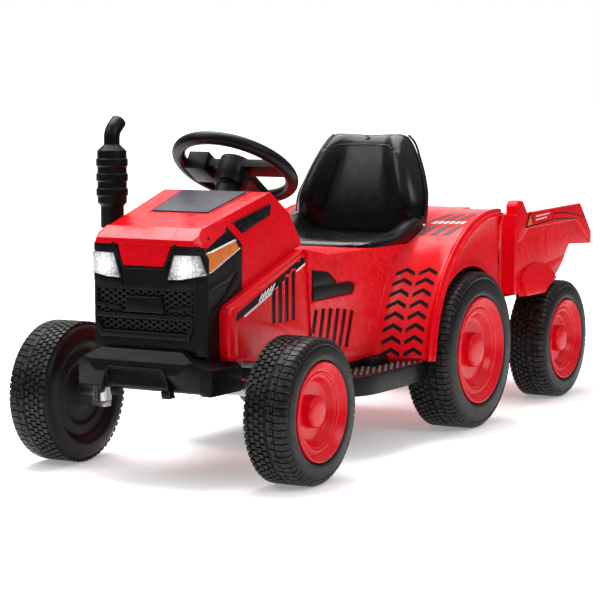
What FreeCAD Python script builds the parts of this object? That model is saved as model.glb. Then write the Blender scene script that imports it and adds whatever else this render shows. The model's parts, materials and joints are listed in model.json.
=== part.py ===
import FreeCAD, Part
import math
import os
import Sketcher

# Ride-on toy tractor with a detachable trailer.  Millimetres; the driver faces -Y, +X is the driver's
# left, Z = 0 is the ground, and the origin lies under the middle of the tractor and trailer.

V = FreeCAD.Vector
doc = FreeCAD.newDocument("toy_tractor")
dims = doc.addObject("Spreadsheet::Sheet", "dims")


class Size:
    """A length, together with the sheet expression that gives it."""

    def __init__(self, value, text):
        self.value = float(value)
        self.text = text

    def joined(self, sign, other, value):
        return Size(value, "(%s %s %s)" % (self.text, sign, other.text))

    def __add__(self, other):
        other = as_size(other)
        return self.joined("+", other, self.value + other.value)

    def __sub__(self, other):
        other = as_size(other)
        return self.joined("-", other, self.value - other.value)

    def __mul__(self, other):
        other = as_size(other)
        return self.joined("*", other, self.value * other.value)

    def __truediv__(self, other):
        other = as_size(other)
        return self.joined("/", other, self.value / other.value)

    def __radd__(self, other):
        return as_size(other) + self

    def __neg__(self):
        return Size(-self.value, "(0 - %s)" % self.text)


def as_size(value):
    return value if isinstance(value, Size) else Size(value, repr(float(value)))


CELLS = [
    # wheels and axles
    ("front_axle_y", -570),
    ("rear_axle_y", 72),
    ("trailer_axle_y", 517),
    ("small_radius", 117),
    ("small_width", 82),
    ("large_radius", 143),
    ("large_width", 90),
    ("front_outer_x", 264),
    ("rear_outer_x", 234),
    ("trailer_outer_x", 212),
    ("axle_radius", 6),
    ("bore_play", 0.06),
    ("cover_share", 0.68),
    ("shoulder", 9),
    ("shoulder_drop", 12),
    ("tyre_wall", 6),
    ("tread_wall", 13),
    ("tread_depth", 5),
    ("tread_gap", 5),
    ("dish_depth", 24),
    ("inner_dish", 12),
    ("cover_skin", 3),
    ("cap_radius", 19),
    ("nut_radius", 11),
    ("nut_length", 5),
    ("end_play", 0.5),
    ("vent_radius", 4),
    # general
    ("wall", 4),
    ("part_gap", 0.3),
    ("panel", 2.5),
    # hood, its rear slope and the belt line where it meets the lower shell
    ("hood_half", 106),
    ("hood_front_y", -644),
    ("hood_front_z", 400),
    ("hood_top_y", -458),
    ("hood_top_z", 450),
    ("brow_y", -401),
    ("brow_z", 414),
    ("hood_tail_y", -362),
    ("hood_tail_z", 358),
    ("hood_opening", 20),
    ("nose_rake", 6),
    ("belt_front_y", -619),
    ("belt_front_z", 278),
    ("belt_rear_y", -386),
    ("belt_rear_z", 353),
    ("mask_rear_y", -553),
    ("mask_mid_z", 372),
    ("mask_top_y", -585),
    ("mask_top_z", 401),
    ("nose_half", 45),
    ("nose_top_z", 384),
    ("nose_low_z", 342),
    ("nose_front_y", -676),
    # lower shell and the seam to the main body
    ("shell_half", 127),
    ("shell_low_z", 194),
    ("seam_y", -371),
    ("seam_z", 213),
    ("crank_hole_half", 45),
    ("crank_hole_front", 8),
    ("crank_hole_rear", 45),
    # mask, grille, lamps and bumper
    ("mask_half", 107),
    ("mask_front_y", -670),
    ("mask_corner_x", 96),
    ("mask_corner_y", -654),
    ("mask_low_z", 205),
    ("grille_low_z", 236),
    ("grille_mid_z", 262),
    ("grille_top_z", 304),
    ("grille_low_half", 77),
    ("mesh_setback", 6),
    ("grille_mid_half", 90),
    ("lamp_inner_x", 46),
    ("lamp_inner_top_x", 57),
    ("lamp_outer_x", 98),
    ("lamp_inner_z", 322),
    ("lamp_outer_z", 331),
    ("lamp_top_z", 360),
    ("lens_skin", 3),
    ("lamp_depth", 22),
    ("signal_front_y", -650),
    ("signal_rear_y", -567),
    ("signal_low_z", 334),
    ("signal_high_z", 361),
    ("signal_rear_low_z", 367),
    ("signal_rear_high_z", 382),
    ("signal_rake_y", 10),
    ("signal_rake_z", 4),
    ("bumper_half", 126),
    ("bumper_front_y", -700),
    ("bumper_top_y", -682),
    ("bumper_rear_y", -587),
    ("bumper_low_z", 143),
    ("bumper_high_z", 211),
    ("bumper_wall", 6),
    ("bumper_brow_z", 194),
    ("bumper_nose_z", 176),
    ("bumper_chin_y", -690),
    ("bumper_chin_z", 152),
    ("bumper_foot_y", -676),
    ("bumper_rear_z", 190),
    ("bumper_roof_z", 184),
    ("bumper_face_half", 75),
    ("bumper_cheek_x", 114),
    ("bumper_cheek_y", -690),
    ("bumper_side_y", -672),
    # trims on the hood
    ("top_panel_front_y", -569),
    ("top_panel_rear_y", -464),
    ("top_panel_front_half", 53),
    ("top_panel_rear_half", 62),
    ("vent_front_y", -568),
    ("vent_rear_y", -461),
    ("vent_front_low_z", 389),
    ("vent_front_high_z", 407),
    ("vent_rear_low_z", 414),
    ("vent_rear_high_z", 431),
    ("vent_rake", 4),
    ("vent_front_rake", 20),
    ("trim_reach", 60),
    # exhaust stack
    ("stack_x", -127),
    ("stack_y", -575),
    ("stack_low_z", 392),
    ("stack_radius", 19),
    ("muffler_low_z", 431),
    ("muffler_high_z", 521),
    ("muffler_radius", 24),
    ("band_radius", 26),
    ("band_width", 14),
    ("outlet_radius", 13),
    ("outlet_bend", 22),
    ("outlet_run", 16),
    ("outlet_rise", 12),
    ("outlet_lean", 50),
    ("bracket_low_z", 404),
    ("bracket_high_z", 412),
    ("bracket_half", 6),
    ("band_first", 12),
    ("band_pitch", 24),
    # main body, floor and foot rests
    ("body_half", 130),
    ("body_low_z", 150),
    ("deck_z", 340),
    ("deck_front_y", -318),
    ("deck_rear_y", 70),
    ("tail_steps", 5),
    ("body_rear_y", 238),
    ("axle_box_front_y", -20),
    ("axle_box_rear_y", 165),
    ("axle_box_low_z", 112),
    ("tail_low_z", 172),
    ("pan_low_z", 112),
    ("pan_wall", 12),
    ("pan_floor", 6),
    ("window_margin", 20),
    ("step_outer_front_x", 180),
    ("step_outer_mid_x", 204),
    ("step_outer_rear_x", 196),
    ("step_front_y", -334),
    ("step_mid_y", -288),
    ("step_rear_y", -75),
    ("step_low_z", 104),
    ("step_high_z", 138),
    ("step_wall", 6),
    ("step_end", 10),
    ("step_rim", 8),
    ("heel_x", 150),
    ("heel_front_y", -200),
    ("heel_rear_y", -130),
    ("heel_z", 152),
    # fenders
    ("arch_y", 186),
    ("arch_z", 118),
    ("arch_radius", 274),
    ("fender_outer_x", 214),
    ("fender_rear_y", 232),
    ("fender_low_z", 138.5),
    ("wheel_arch_radius", 152),
    ("fender_wall", 5),
    # side trims
    ("trim_front_y", -371),
    ("trim_step_y", -290),
    ("trim_rear_y", -226),
    ("trim_top_z", 318),
    ("trim_step_z", 297),
    ("trim_bar_z", 292),
    ("trim_low_z", 264),
    ("trim_tip_z", 274),
    ("trim_round_y", 6),
    ("trim_round_z", 8),
    # seat
    ("seat_front_y", -165),
    ("seat_half", 128),
    ("seat_wide", 134),
    ("seat_wide_z", 413),
    ("seat_top_half", 62),
    ("seat_shoulder_half", 92),
    ("seat_shoulder_z", 519),
    ("seat_top_z", 534),
    ("seat_top_y", 88),
    ("bucket_half", 84),
    ("cushion_front_z", 350),
    ("cushion_rear_z", 360),
    ("cushion_rear_y", 12),
    ("back_face_top_y", 58),
    ("wing_front_y", -90),
    ("wing_front_z", 368),
    ("wing_mid_y", -20),
    ("wing_mid_z", 392),
    ("wing_rear_y", 18),
    ("wing_rear_z", 430),
    ("wing_top_y", 50),
    ("wing_top_z", 520),
    ("crown_front_y", 74),
    ("crown_rear_z", 530),
    ("back_top_z", 510),
    ("back_low_y", 66),
    ("back_low_z", 400),
    ("seat_foot_y", 62),
    ("bucket_corner_z", 396),
    ("seat_skin", 6),
    ("seat_lap", 8),
    ("seat_lip", 2),
    ("seat_taper", 10),
    ("bucket_rise", 3),
    ("bucket_rake", 12),
    ("seat_hollow_y", 48),
    ("bolt_x", 121),
    ("bolt_y", 36),
    ("bolt_z", 366),
    ("bolt_radius", 7),
    ("bolt_reach", 11),
    # steering
    ("wheel_y", -400),
    ("wheel_z", 486),
    ("wheel_tilt", 31.6),
    ("ring_radius", 98),
    ("ring_tube", 11),
    ("hub_radius", 28),
    ("hub_depth", 34),
    ("spoke_width", 34),
    ("spoke_depth", 14),
    ("pod_inner", 44),
    ("pod_outer", 82),
    ("pod_half", 24),
    ("pod_low", -16),
    ("pod_top", 16),
    ("button_radius", 6),
    ("button_spread", 10),
    ("button_top", 19),
    ("button_stroke", 3),
    ("button_well", 8),
    ("button_rest", 0.5),
    ("column_length", 307),
    ("crank_arm", 29),
    ("crank_pin_radius", 4),
    ("crank_pin_drop", 36),
    ("crank_plate", 6),
    ("dash_half", 101),
    ("dash_skin", 8),
    ("dash_inset_y", 3),
    ("dash_inset_z", 5),
    ("dash_sink", 4),
    ("dash_bore", 8),
    ("boss_radius", 22),
    ("boss_gap", 4),
    ("boss_length", 28),
    ("kingpin_x", 150),
    ("knuckle_arm", 45),
    ("beam_half_depth", 12),
    ("beam_low_z", 134),
    ("beam_high_z", 158),
    ("sleeve_radius", 12),
    ("sleeve_low_z", 106),
    ("sleeve_high_z", 158),
    ("knuckle_low_z", 96),
    ("knuckle_high_z", 168),
    ("knuckle_plate", 8),
    ("knuckle_web_x", 164.5),
    ("collar_radius", 10),
    ("post_x", 66),
    ("rod_low_z", 172),
    ("rod_high_z", 182),
    ("rod_depth", 12),
    ("rod_pin_radius", 4),
    ("rod_slot_reach", 10),
    ("eye_wall", 4),
    ("pin_stand", 2),
    ("eye_play", 0.8),
    ("fork_gap", 5.2),
    ("fork_plate", 4),
    ("fork_front_y", -577),
    ("fork_high_z", 188),
    # drive and electrics
    ("gearbox_inner_x", 62),
    ("gearbox_depth", 70),
    ("gearbox_height", 60),
    ("gearbox_lift", 6),
    ("gearbox_boss", 8),
    ("drive_boss_radius", 20),
    ("battery_half", 75),
    ("battery_front_y", -130),
    ("battery_depth", 65),
    ("battery_height", 95),
    ("module_half", 40),
    ("module_front_y", -240),
    ("module_depth", 60),
    ("module_height", 28),
    ("socket_y", -60),
    ("socket_z", 300),
    ("socket_flange", 14),
    ("socket_radius", 10),
    ("socket_bore", 4),
    ("socket_length", 14),
    # dash switch and pedal
    ("rocker_x", 62),
    ("rocker_half", 10),
    ("rocker_depth", 14),
    ("rocker_well", 2),
    ("rocker_z", 380),
    ("rocker_low_z", 374),
    ("rocker_high_z", 394),
    ("rocker_pin_radius", 3),
    ("rocker_pin_reach", 4),
    ("pedal_x", 168),
    ("pedal_half", 24),
    ("pedal_front_y", -318),
    ("pedal_rear_y", -222),
    ("pedal_low_z", 141),
    ("pedal_high_z", 172),
    ("pedal_skin", 6),
    ("pedal_barrel", 3),
    # hitch
    ("hitch_y", 262),
    ("pin_radius", 5),
    ("pin_low_z", 150),
    ("pin_high_z", 188),
    ("pin_head_radius", 10),
    ("pin_head", 8),
    ("tongue_half", 20),
    ("tongue_low_z", 172),
    ("tongue_high_z", 180),
    ("drawbar_low_z", 160),
    ("drawbar_half", 16),
    ("drawbar_rear_y", 470),
    # trailer
    ("tub_half", 186),
    ("tub_low_half", 122),
    ("tub_front_y", 318),
    ("tub_rear_y", 700),
    ("tub_rim_z", 374),
    ("tub_low_z", 205),
    ("tub_wall", 6),
    ("tub_tail_z", 296),
    ("tub_lip_z", 319),
    ("tub_peak_y", 640),
    ("tub_peak_z", 381),
    ("tub_shelf_y", 587),
    ("tub_side_z", 268),
    ("tub_curve_y", 559),
    ("tub_curve_z", 276),
    ("tub_toe", 12),
    ("tub_flare_z", 222),
    ("tub_arch_front_y", 352),
    ("tub_arch_mid_y", 437),
    ("tub_arch_rear_y", 489),
    ("tub_arch_front_z", 250),
    ("tub_arch_mid_z", 272),
    ("tub_arch_rear_z", 262),
    ("hanger_half", 16),
    ("hanger_skin", 14),
    ("ear_low_z", 324),
    ("ear_front_y", 310),
    ("ear_rear_y", 362),
    ("ear_z", 400),
    ("ear_inner_x", 150),
    ("reflector_rear_y", 470),
    ("reflector_low_z", 350),
    ("reflector_high_z", 374),
]


class Cells:
    """The sheet's named cells, each read as a Size."""

    def __init__(self, rows):
        for row, (name, value) in enumerate(rows, 1):
            dims.set("A%d" % row, name)
            dims.set("B%d" % row, repr(value))
            dims.setAlias("B%d" % row, name)
            setattr(self, name, Size(value, "dims." + name))


d = Cells(CELLS)
doc.recompute()
nodes = {}


# ---------------------------------------------------------------------------------------------------
# helpers


def node(label, thing):
    """Name a finished sub-part; its label is its file name."""
    thing.Label = label
    nodes[label] = thing
    return thing


def draw(sketch, corners):
    """A closed outline, each corner held by two lengths from the sheet."""
    spots = [V(as_size(u).value, as_size(v).value, 0) for u, v in corners]
    first = sketch.GeometryCount
    count = len(spots)
    for index, spot in enumerate(spots):
        sketch.addGeometry(Part.LineSegment(spot, spots[(index + 1) % count]), False)
    for index, corner in enumerate(corners):
        here = first + index
        after = first + (index + 1) % count
        sketch.addConstraint(Sketcher.Constraint("Coincident", here, 2, after, 1))
        for kind, size in zip(("DistanceX", "DistanceY"), corner):
            size = as_size(size)
            held = sketch.addConstraint(Sketcher.Constraint(kind, here, 1, size.value))
            sketch.setExpression("Constraints[%d]" % held, size.text)


def bind(thing, **sizes):
    """Tie properties to the sheet: Length=d.wall, or Placement_Base_x=d.heel_x."""
    for name, size in sizes.items():
        thing.setExpression(name.replace("_", "."), as_size(size).text)


def place(thing, x=0, y=0, z=0):
    bind(thing, Placement_Base_x=x, Placement_Base_y=y, Placement_Base_z=z)


SIDE = FreeCAD.Rotation(V(0, 1, 0), V(0, 0, 1), V(1, 0, 0), "ZXY")
FACE = FreeCAD.Rotation(V(1, 0, 0), V(0, 0, 1), V(0, -1, 0), "ZXY")
PLAN = FreeCAD.Rotation()
VIEWS = {"side": (SIDE, V(1, 0, 0)), "face": (FACE, V(0, 1, 0)), "plan": (PLAN, V(0, 0, 1))}
ACROSS = {"side": "x", "face": "y", "plan": "z"}


def slab(view, corners, low, high, name="slab"):
    """An outline drawn in side view (Y, Z), face view (X, Z) or plan (X, Y), solid from low to high."""
    turn, way = VIEWS[view]
    low = as_size(low)
    high = as_size(high)
    sketch = doc.addObject("Sketcher::SketchObject", name + "_outline")
    sketch.Placement = FreeCAD.Placement(V(), turn)
    draw(sketch, corners)
    bind(sketch, **{"Placement_Base_" + ACROSS[view]: low})
    solid = doc.addObject("Part::Extrusion", name)
    solid.Base = sketch
    solid.DirMode = "Custom"
    solid.Dir = way
    solid.Solid = True
    bind(solid, LengthFwd=high - low)
    return solid


def across(corners, half, name="slab"):
    """A side-view outline, solid to the same reach on both sides."""
    return slab("side", corners, -half, half, name)


def box(x, y, z, name="block"):
    """A box between two limits along each axis."""
    solid = doc.addObject("Part::Box", name)
    x, y, z = ([as_size(end) for end in pair] for pair in (x, y, z))
    bind(solid, Length=x[1] - x[0], Width=y[1] - y[0], Height=z[1] - z[0])
    place(solid, x[0], y[0], z[0])
    return solid


ALONG = {
    "x": FreeCAD.Rotation(V(0, 1, 0), 90),
    "y": FreeCAD.Rotation(V(1, 0, 0), -90),
    "z": FreeCAD.Rotation(),
}


def rod(axis, radius, start, end, a, b, name="rod"):
    """A cylinder along an axis from start to end; a and b are its other two coordinates in order."""
    solid = doc.addObject("Part::Cylinder", name)
    start = as_size(start)
    end = as_size(end)
    spot = {"x": (start, a, b), "y": (a, start, b), "z": (a, b, start)}[axis]
    solid.Placement.Rotation = ALONG[axis]
    bind(solid, Radius=radius, Height=end - start)
    place(solid, *spot)
    return solid


def united(*things):
    if len(things) == 1:
        return things[0]
    joined = doc.addObject("Part::MultiFuse", "united")
    joined.Shapes = list(things)
    return joined


def without(base, *tools):
    result = doc.addObject("Part::Cut", "without")
    result.Base = base
    result.Tool = united(*tools)
    return result


def shared(*things):
    result = doc.addObject("Part::MultiCommon", "shared")
    result.Shapes = list(things)
    return result


def mirrored(source):
    """The same thing on the driver's right."""
    twin = doc.addObject("Part::Mirroring", "mirrored")
    twin.Source = source
    twin.Normal = V(1, 0, 0)
    return twin


def both(source):
    return united(source, mirrored(source))


def pair(name, left):
    """A left piece and its mirror image as two nodes."""
    node(name + "_left", left)
    node(name + "_right", mirrored(left))


def origin(body, role):
    return next(thing for thing in body.Origin.OriginFeatures if thing.Role == role)


def body_sketch(body, role, corners, name):
    sketch = body.newObject("Sketcher::SketchObject", name)
    sketch.AttachmentSupport = [(origin(body, role), "")]
    sketch.MapMode = "FlatFace"
    draw(sketch, corners)
    return sketch


def turned(body, kind, corners, name, role="XY_Plane", axis="X_Axis"):
    """Revolution or groove of an outline about one of the body's own axes."""
    sketch = body_sketch(body, role, corners, name + "_outline")
    feature = body.newObject("PartDesign::" + kind, name)
    feature.Profile = sketch
    feature.ReferenceAxis = (origin(body, axis), [""])
    feature.Angle = 360
    return feature


# ---------------------------------------------------------------------------------------------------
# wheels: each is modelled about its own axle, outer side towards +X


def tyre(label, radius, width):
    """Blow-moulded wheel: hollow ring and disc, dished outer side, a groove round the tread."""
    body = doc.addObject("PartDesign::Body", label)
    half = width / 2
    cover = radius * d.cover_share
    bore = d.axle_radius + d.bore_play
    disc = half - d.dish_depth
    inner = -half + d.inner_dish
    rim = cover - d.tyre_wall
    outline = [
        (inner, bore),
        (inner, rim),
        (-half, cover),
        (-half, radius - d.shoulder_drop),
        (-half + d.shoulder, radius),
        (half - d.shoulder, radius),
        (half, radius - d.shoulder_drop),
        (half, cover),
        (disc, cover),
        (disc, bore),
    ]
    turned(body, "Revolution", outline, "moulding")
    low = d.cap_radius + d.tyre_wall
    cavity = [
        (inner + d.tyre_wall, low),
        (inner + d.tyre_wall, cover),
        (-half + d.tyre_wall, cover + d.tyre_wall),
        (-half + d.tread_wall, radius - d.tread_wall),
        (half - d.tread_wall, radius - d.tread_wall),
        (half - d.tyre_wall, cover + d.tyre_wall),
        (disc - d.tyre_wall, cover),
        (disc - d.tyre_wall, low),
    ]
    turned(body, "Groove", cavity, "cavity")
    ring = [
        (-d.tread_gap / 2, radius - d.tread_depth),
        (-d.tread_gap / 2, radius + 1),
        (d.tread_gap / 2, radius + 1),
        (d.tread_gap / 2, radius - d.tread_depth),
    ]
    turned(body, "Groove", ring, "tread_split")
    vent = body.newObject("PartDesign::Pocket", "vent")
    vent.Profile = body.newObject("Sketcher::SketchObject", "vent_outline")
    vent.Profile[0].AttachmentSupport = [(origin(body, "YZ_Plane"), "")]
    vent.Profile[0].MapMode = "FlatFace"
    middle = Part.Circle(V(0, (cover * 0.6).value, 0), V(0, 0, 1), d.vent_radius.value)
    vent.Profile[0].addGeometry(middle, False)
    vent.Reversed = False
    bind(vent, Length=half)
    body.Tip = vent
    return body


def wheel_cover(label, radius, width):
    """Dished cover: rim lip, deep ring step, and a centre opening for the hub cap."""
    body = doc.addObject("PartDesign::Body", label)
    half = width / 2
    rim = radius * d.cover_share - d.part_gap
    face = [
        (half - 4, rim),
        (half - 2, rim * 0.93),
        (half - 5, rim * 0.84),
        (half - 14, rim * 0.78),
        (half - 14, rim * 0.62),
        (half - 17, rim * 0.58),
        (half - 17, rim * 0.40),
        (half - 10, rim * 0.34),
        (half - 10, d.cap_radius + d.part_gap),
    ]
    back = [(x - d.cover_skin, r) for x, r in reversed(face)]
    back[-1] = (half - d.dish_depth, rim)
    back.insert(-1, (half - d.dish_depth, rim - d.cover_skin))
    turned(body, "Revolution", face + back, "dish")
    return body


def hub_cap(label, width):
    """Cup-shaped cap over the end of the axle."""
    body = doc.addObject("PartDesign::Body", label)
    half = width / 2
    cap = [
        (half - d.dish_depth, d.cap_radius),
        (half - 3, d.cap_radius),
        (half - 1, d.cap_radius - 3),
        (half - 1, 0),
        (half - 1 - d.cover_skin, 0),
        (half - 1 - d.cover_skin, d.cap_radius - d.cover_skin),
        (half - d.dish_depth, d.cap_radius - d.cover_skin),
    ]
    turned(body, "Revolution", cap, "cup")
    return body


def wheel(place_name, radius, width, outer_x, axle_y):
    """Left and right wheels of one axle; the right one is the left one turned half round."""
    for side, sign in (("left", 1), ("right", -1)):
        label = "%s_%s" % (place_name, side)
        pieces = (
            tyre("tyre_" + label, radius, width),
            wheel_cover("wheel_cover_" + label, radius, width),
            hub_cap("hub_cap_" + label, width),
        )
        for piece in pieces:
            if sign < 0:
                piece.Placement.Rotation = FreeCAD.Rotation(V(0, 0, 1), 180)
            place(piece, (outer_x - width / 2) * sign, axle_y, radius)
            node(piece.Label, piece)


# ---------------------------------------------------------------------------------------------------
# axles, knuckles and steering linkage


def stub(start, outer_x, width, y, z):
    """Axle end with the lock nut that keeps the wheel on."""
    disc = outer_x - d.dish_depth
    return united(
        rod("x", d.axle_radius, start, disc + d.end_play + d.nut_length, y, z),
        rod("x", d.nut_radius, disc + d.end_play, disc + d.end_play + d.nut_length, y, z),
    )


def rear_axle():
    end = stub(0, d.rear_outer_x, d.large_width, d.rear_axle_y, d.large_radius)
    node("rear_axle", both(end))


def trailer_axle():
    y = d.trailer_axle_y
    inner_x = d.trailer_outer_x - d.small_width + d.inner_dish
    end = united(
        stub(0, d.trailer_outer_x, d.small_width, y, d.small_radius),
        rod("x", d.collar_radius, d.tub_low_half, inner_x - d.end_play, y, d.small_radius),
    )
    node("trailer_axle", both(end))


def front_axle():
    """Cross beam with two posts up to the lower shell and a sleeve for each kingpin."""
    y = d.front_axle_y
    beam = box((0, d.kingpin_x), (y - d.beam_half_depth, y + d.beam_half_depth),
               (d.beam_low_z, d.beam_high_z))
    post = box((d.post_x - d.fork_plate, d.post_x + d.fork_plate),
               (y - d.beam_half_depth, y + d.beam_half_depth), (d.beam_low_z, d.shell_low_z))
    sleeve = rod("z", d.sleeve_radius, d.sleeve_low_z, d.sleeve_high_z, d.kingpin_x, y)
    bore = rod("z", d.axle_radius + d.bore_play, 0, d.shell_low_z, d.kingpin_x, y)
    node("front_axle_beam", both(without(united(beam, post, sleeve), bore)))


def knuckle():
    """Kingpin, C-shaped bracket, steering arm with its pin, and the stub axle of a front wheel."""
    y = d.front_axle_y
    x = d.kingpin_x
    plate = d.knuckle_plate
    inner_x = d.front_outer_x - d.small_width + d.inner_dish
    arm_y = y + d.knuckle_arm
    kingpin = rod("z", d.axle_radius, d.knuckle_low_z, d.knuckle_high_z, x, y)
    lower = box((x - plate, d.knuckle_web_x + plate), (y - plate, y + plate),
                (d.knuckle_low_z, d.knuckle_low_z + plate))
    web = box((d.knuckle_web_x, d.knuckle_web_x + plate), (y - plate, y + plate),
              (d.knuckle_low_z, d.knuckle_high_z))
    upper = box((x - plate, d.knuckle_web_x + plate), (y - plate, arm_y + plate),
                (d.knuckle_high_z - plate, d.knuckle_high_z))
    pin = rod("z", d.rod_pin_radius, d.knuckle_high_z - plate, d.rod_high_z + d.pin_stand, x, arm_y)
    collar = rod("x", d.collar_radius, d.knuckle_web_x, inner_x - d.end_play, y, d.small_radius)
    axle = stub(d.knuckle_web_x, d.front_outer_x, d.small_width, y, d.small_radius)
    pair("knuckle", united(kingpin, lower, web, upper, pin, collar, axle))


def tie_rod():
    """Bar behind the axle: a slotted eye on each arm pin and a fork for the steering crank."""
    y = d.front_axle_y + d.knuckle_arm
    play = d.eye_play
    bar = box((0, d.kingpin_x), (y - d.rod_depth / 2, y + d.rod_depth / 2),
              (d.rod_low_z, d.rod_high_z))
    eye = box((d.kingpin_x - d.rod_depth, d.kingpin_x + d.rod_depth),
              (y - d.rod_slot_reach - d.eye_wall, y + d.rod_slot_reach + d.eye_wall),
              (d.rod_low_z, d.rod_high_z))
    slot = box((d.kingpin_x - d.rod_pin_radius - play, d.kingpin_x + d.rod_pin_radius + play),
               (y - d.rod_slot_reach, y + d.rod_slot_reach), (d.rod_low_z - 1, d.rod_high_z + 1))
    tab = box((d.fork_gap, d.fork_gap + d.fork_plate), (d.fork_front_y, y + d.rod_depth / 2),
              (d.rod_low_z, d.fork_high_z))
    node("tie_rod", both(without(united(bar, eye, tab), slot)))


def tilted(thing, label="tilted"):
    """Stand a piece on the steering axis, whose +Z leans back towards the driver."""
    holder = doc.addObject("Part::Compound", label)
    holder.Links = [thing]
    holder.Placement.Rotation = FreeCAD.Rotation(V(-1, 0, 0), d.wheel_tilt.value)
    place(holder, 0, d.wheel_y, d.wheel_z)
    return holder


def tilted_group(label, thing):
    """A sub-part that is built from primitives about the steering axis."""
    return node(label, tilted(thing, label))


def steering_wheel():
    """Thick ring, hub with a skirt, three spokes, and a pod with two buttons on the right spoke."""
    ring = doc.addObject("Part::Torus", "ring")
    bind(ring, Radius1=d.ring_radius, Radius2=d.ring_tube)
    hub = rod("z", d.hub_radius, -d.hub_depth, d.ring_tube, 0, 0)
    side = box((-d.ring_radius, d.ring_radius), (-d.spoke_width / 2, d.spoke_width / 2),
               (-d.spoke_depth / 2, d.spoke_depth / 2))
    pod = box((-d.pod_outer, -d.pod_inner), (-d.pod_half, d.pod_half), (d.pod_low, d.pod_top))
    lower = box((-d.spoke_width / 2, d.spoke_width / 2), (0, d.ring_radius),
                (-d.spoke_depth / 2, d.spoke_depth / 2))
    middle = -(d.pod_inner + d.pod_outer) / 2
    rows = {"horn_button": -d.button_spread, "music_button": d.button_spread}
    floor = d.pod_top - d.button_well
    wells = [rod("z", d.button_radius + d.part_gap, floor, d.pod_top + 1, middle, y)
             for y in rows.values()]
    socket = rod("z", d.axle_radius, -d.hub_depth - 1, 0, 0, 0)
    tilted_group("steering_wheel", without(united(ring, hub, side, pod, lower), *wells, socket))
    for label, y in rows.items():
        low = floor + d.button_stroke + d.button_rest
        tilted_group(label, rod("z", d.button_radius, low, d.button_top, middle, y))


def steering_column():
    """Steel rod with a crank plate and crank pin at its foot."""
    foot = -d.column_length
    shaft = rod("z", d.axle_radius, foot - d.crank_plate, 0, 0, 0)
    plate = box((-d.knuckle_plate, d.knuckle_plate),
                (-d.knuckle_plate, d.crank_arm + d.knuckle_plate), (foot - d.crank_plate, foot))
    pin = rod("z", d.crank_pin_radius, foot - d.crank_pin_drop, foot, 0, d.crank_arm)
    tilted_group("steering_column", united(shaft, plate, pin))


# ---------------------------------------------------------------------------------------------------
# hood, lower shell, mask, lamps and bumper


def hood():
    """Upper shell: sloping top, sides down to the belt line, and the nose tongue between the lamps."""
    outer = across([
        (d.hood_front_y, d.hood_front_z - d.wall),
        (d.hood_front_y, d.hood_front_z),
        (d.hood_top_y, d.hood_top_z),
        (d.brow_y, d.brow_z),
        (d.hood_tail_y, d.hood_tail_z),
        (d.belt_rear_y, d.belt_rear_z),
        (d.mask_rear_y, belt(d.mask_rear_y)),
        (d.mask_rear_y, d.mask_mid_z),
        (d.mask_top_y, d.mask_top_z),
    ], d.hood_half, "hood_outside")
    inner = across([
        (d.mask_top_y + d.wall * 2, d.mask_top_z + 2),
        (d.hood_top_y - 2, d.hood_top_z - d.wall),
        (d.brow_y + d.wall, d.hood_top_z),
        (d.hood_tail_y + d.hood_opening, d.brow_z),
        (d.hood_tail_y + d.hood_opening, d.shell_low_z),
        (d.mask_rear_y + d.wall, d.shell_low_z),
        (d.mask_rear_y + d.wall, d.mask_mid_z),
    ], d.hood_half - d.wall, "hood_inside")
    tongue = across([
        (d.hood_front_y + 2, d.hood_front_z),
        (d.nose_front_y + d.nose_rake, d.nose_top_z),
        (d.nose_front_y, d.nose_low_z),
        (d.mask_front_y, d.nose_low_z),
        (d.mask_front_y, d.nose_top_z - d.nose_rake),
        (d.hood_front_y, d.hood_front_z - d.wall),
    ], d.nose_half, "nose_tongue")
    node("hood", united(without(outer, inner), tongue))


def belt(y):
    """Height of the belt line, where hood and lower shell meet, at a place along the tractor."""
    rise = (d.belt_rear_z - d.belt_front_z) / (d.belt_rear_y - d.belt_front_y)
    return d.belt_front_z + rise * (y - d.belt_front_y)


def hood_trims():
    """Dark top panel and the louvred vent on each side of the hood."""
    rise = (d.hood_top_z - d.hood_front_z) / (d.hood_top_y - d.hood_front_y)

    def top(y):
        return d.hood_front_z + rise * (y - d.hood_front_y)

    front = d.top_panel_front_y
    rear = d.top_panel_rear_y
    sheet = across([(front, top(front)), (front, top(front) + d.panel),
                    (rear, top(rear) + d.panel), (rear, top(rear))], d.hood_half, "top_sheet")
    shape = slab("plan", [(-d.top_panel_front_half, front - 1), (d.top_panel_front_half, front - 1),
                          (d.top_panel_rear_half, rear + 1), (-d.top_panel_rear_half, rear + 1)],
                 d.brow_z - d.trim_reach, d.hood_top_z + d.trim_reach, "top_shape")
    node("hood_top_panel", shared(sheet, shape))
    vent = slab("side", [(d.vent_front_y, d.vent_front_high_z), (d.vent_rear_y, d.vent_rear_high_z),
                         (d.vent_rear_y - d.vent_rake, d.vent_rear_low_z),
                         (d.vent_front_y + d.vent_front_rake, d.vent_front_low_z)],
                d.hood_half, d.hood_half + d.panel, "vent")
    node("hood_vents", both(vent))


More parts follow.
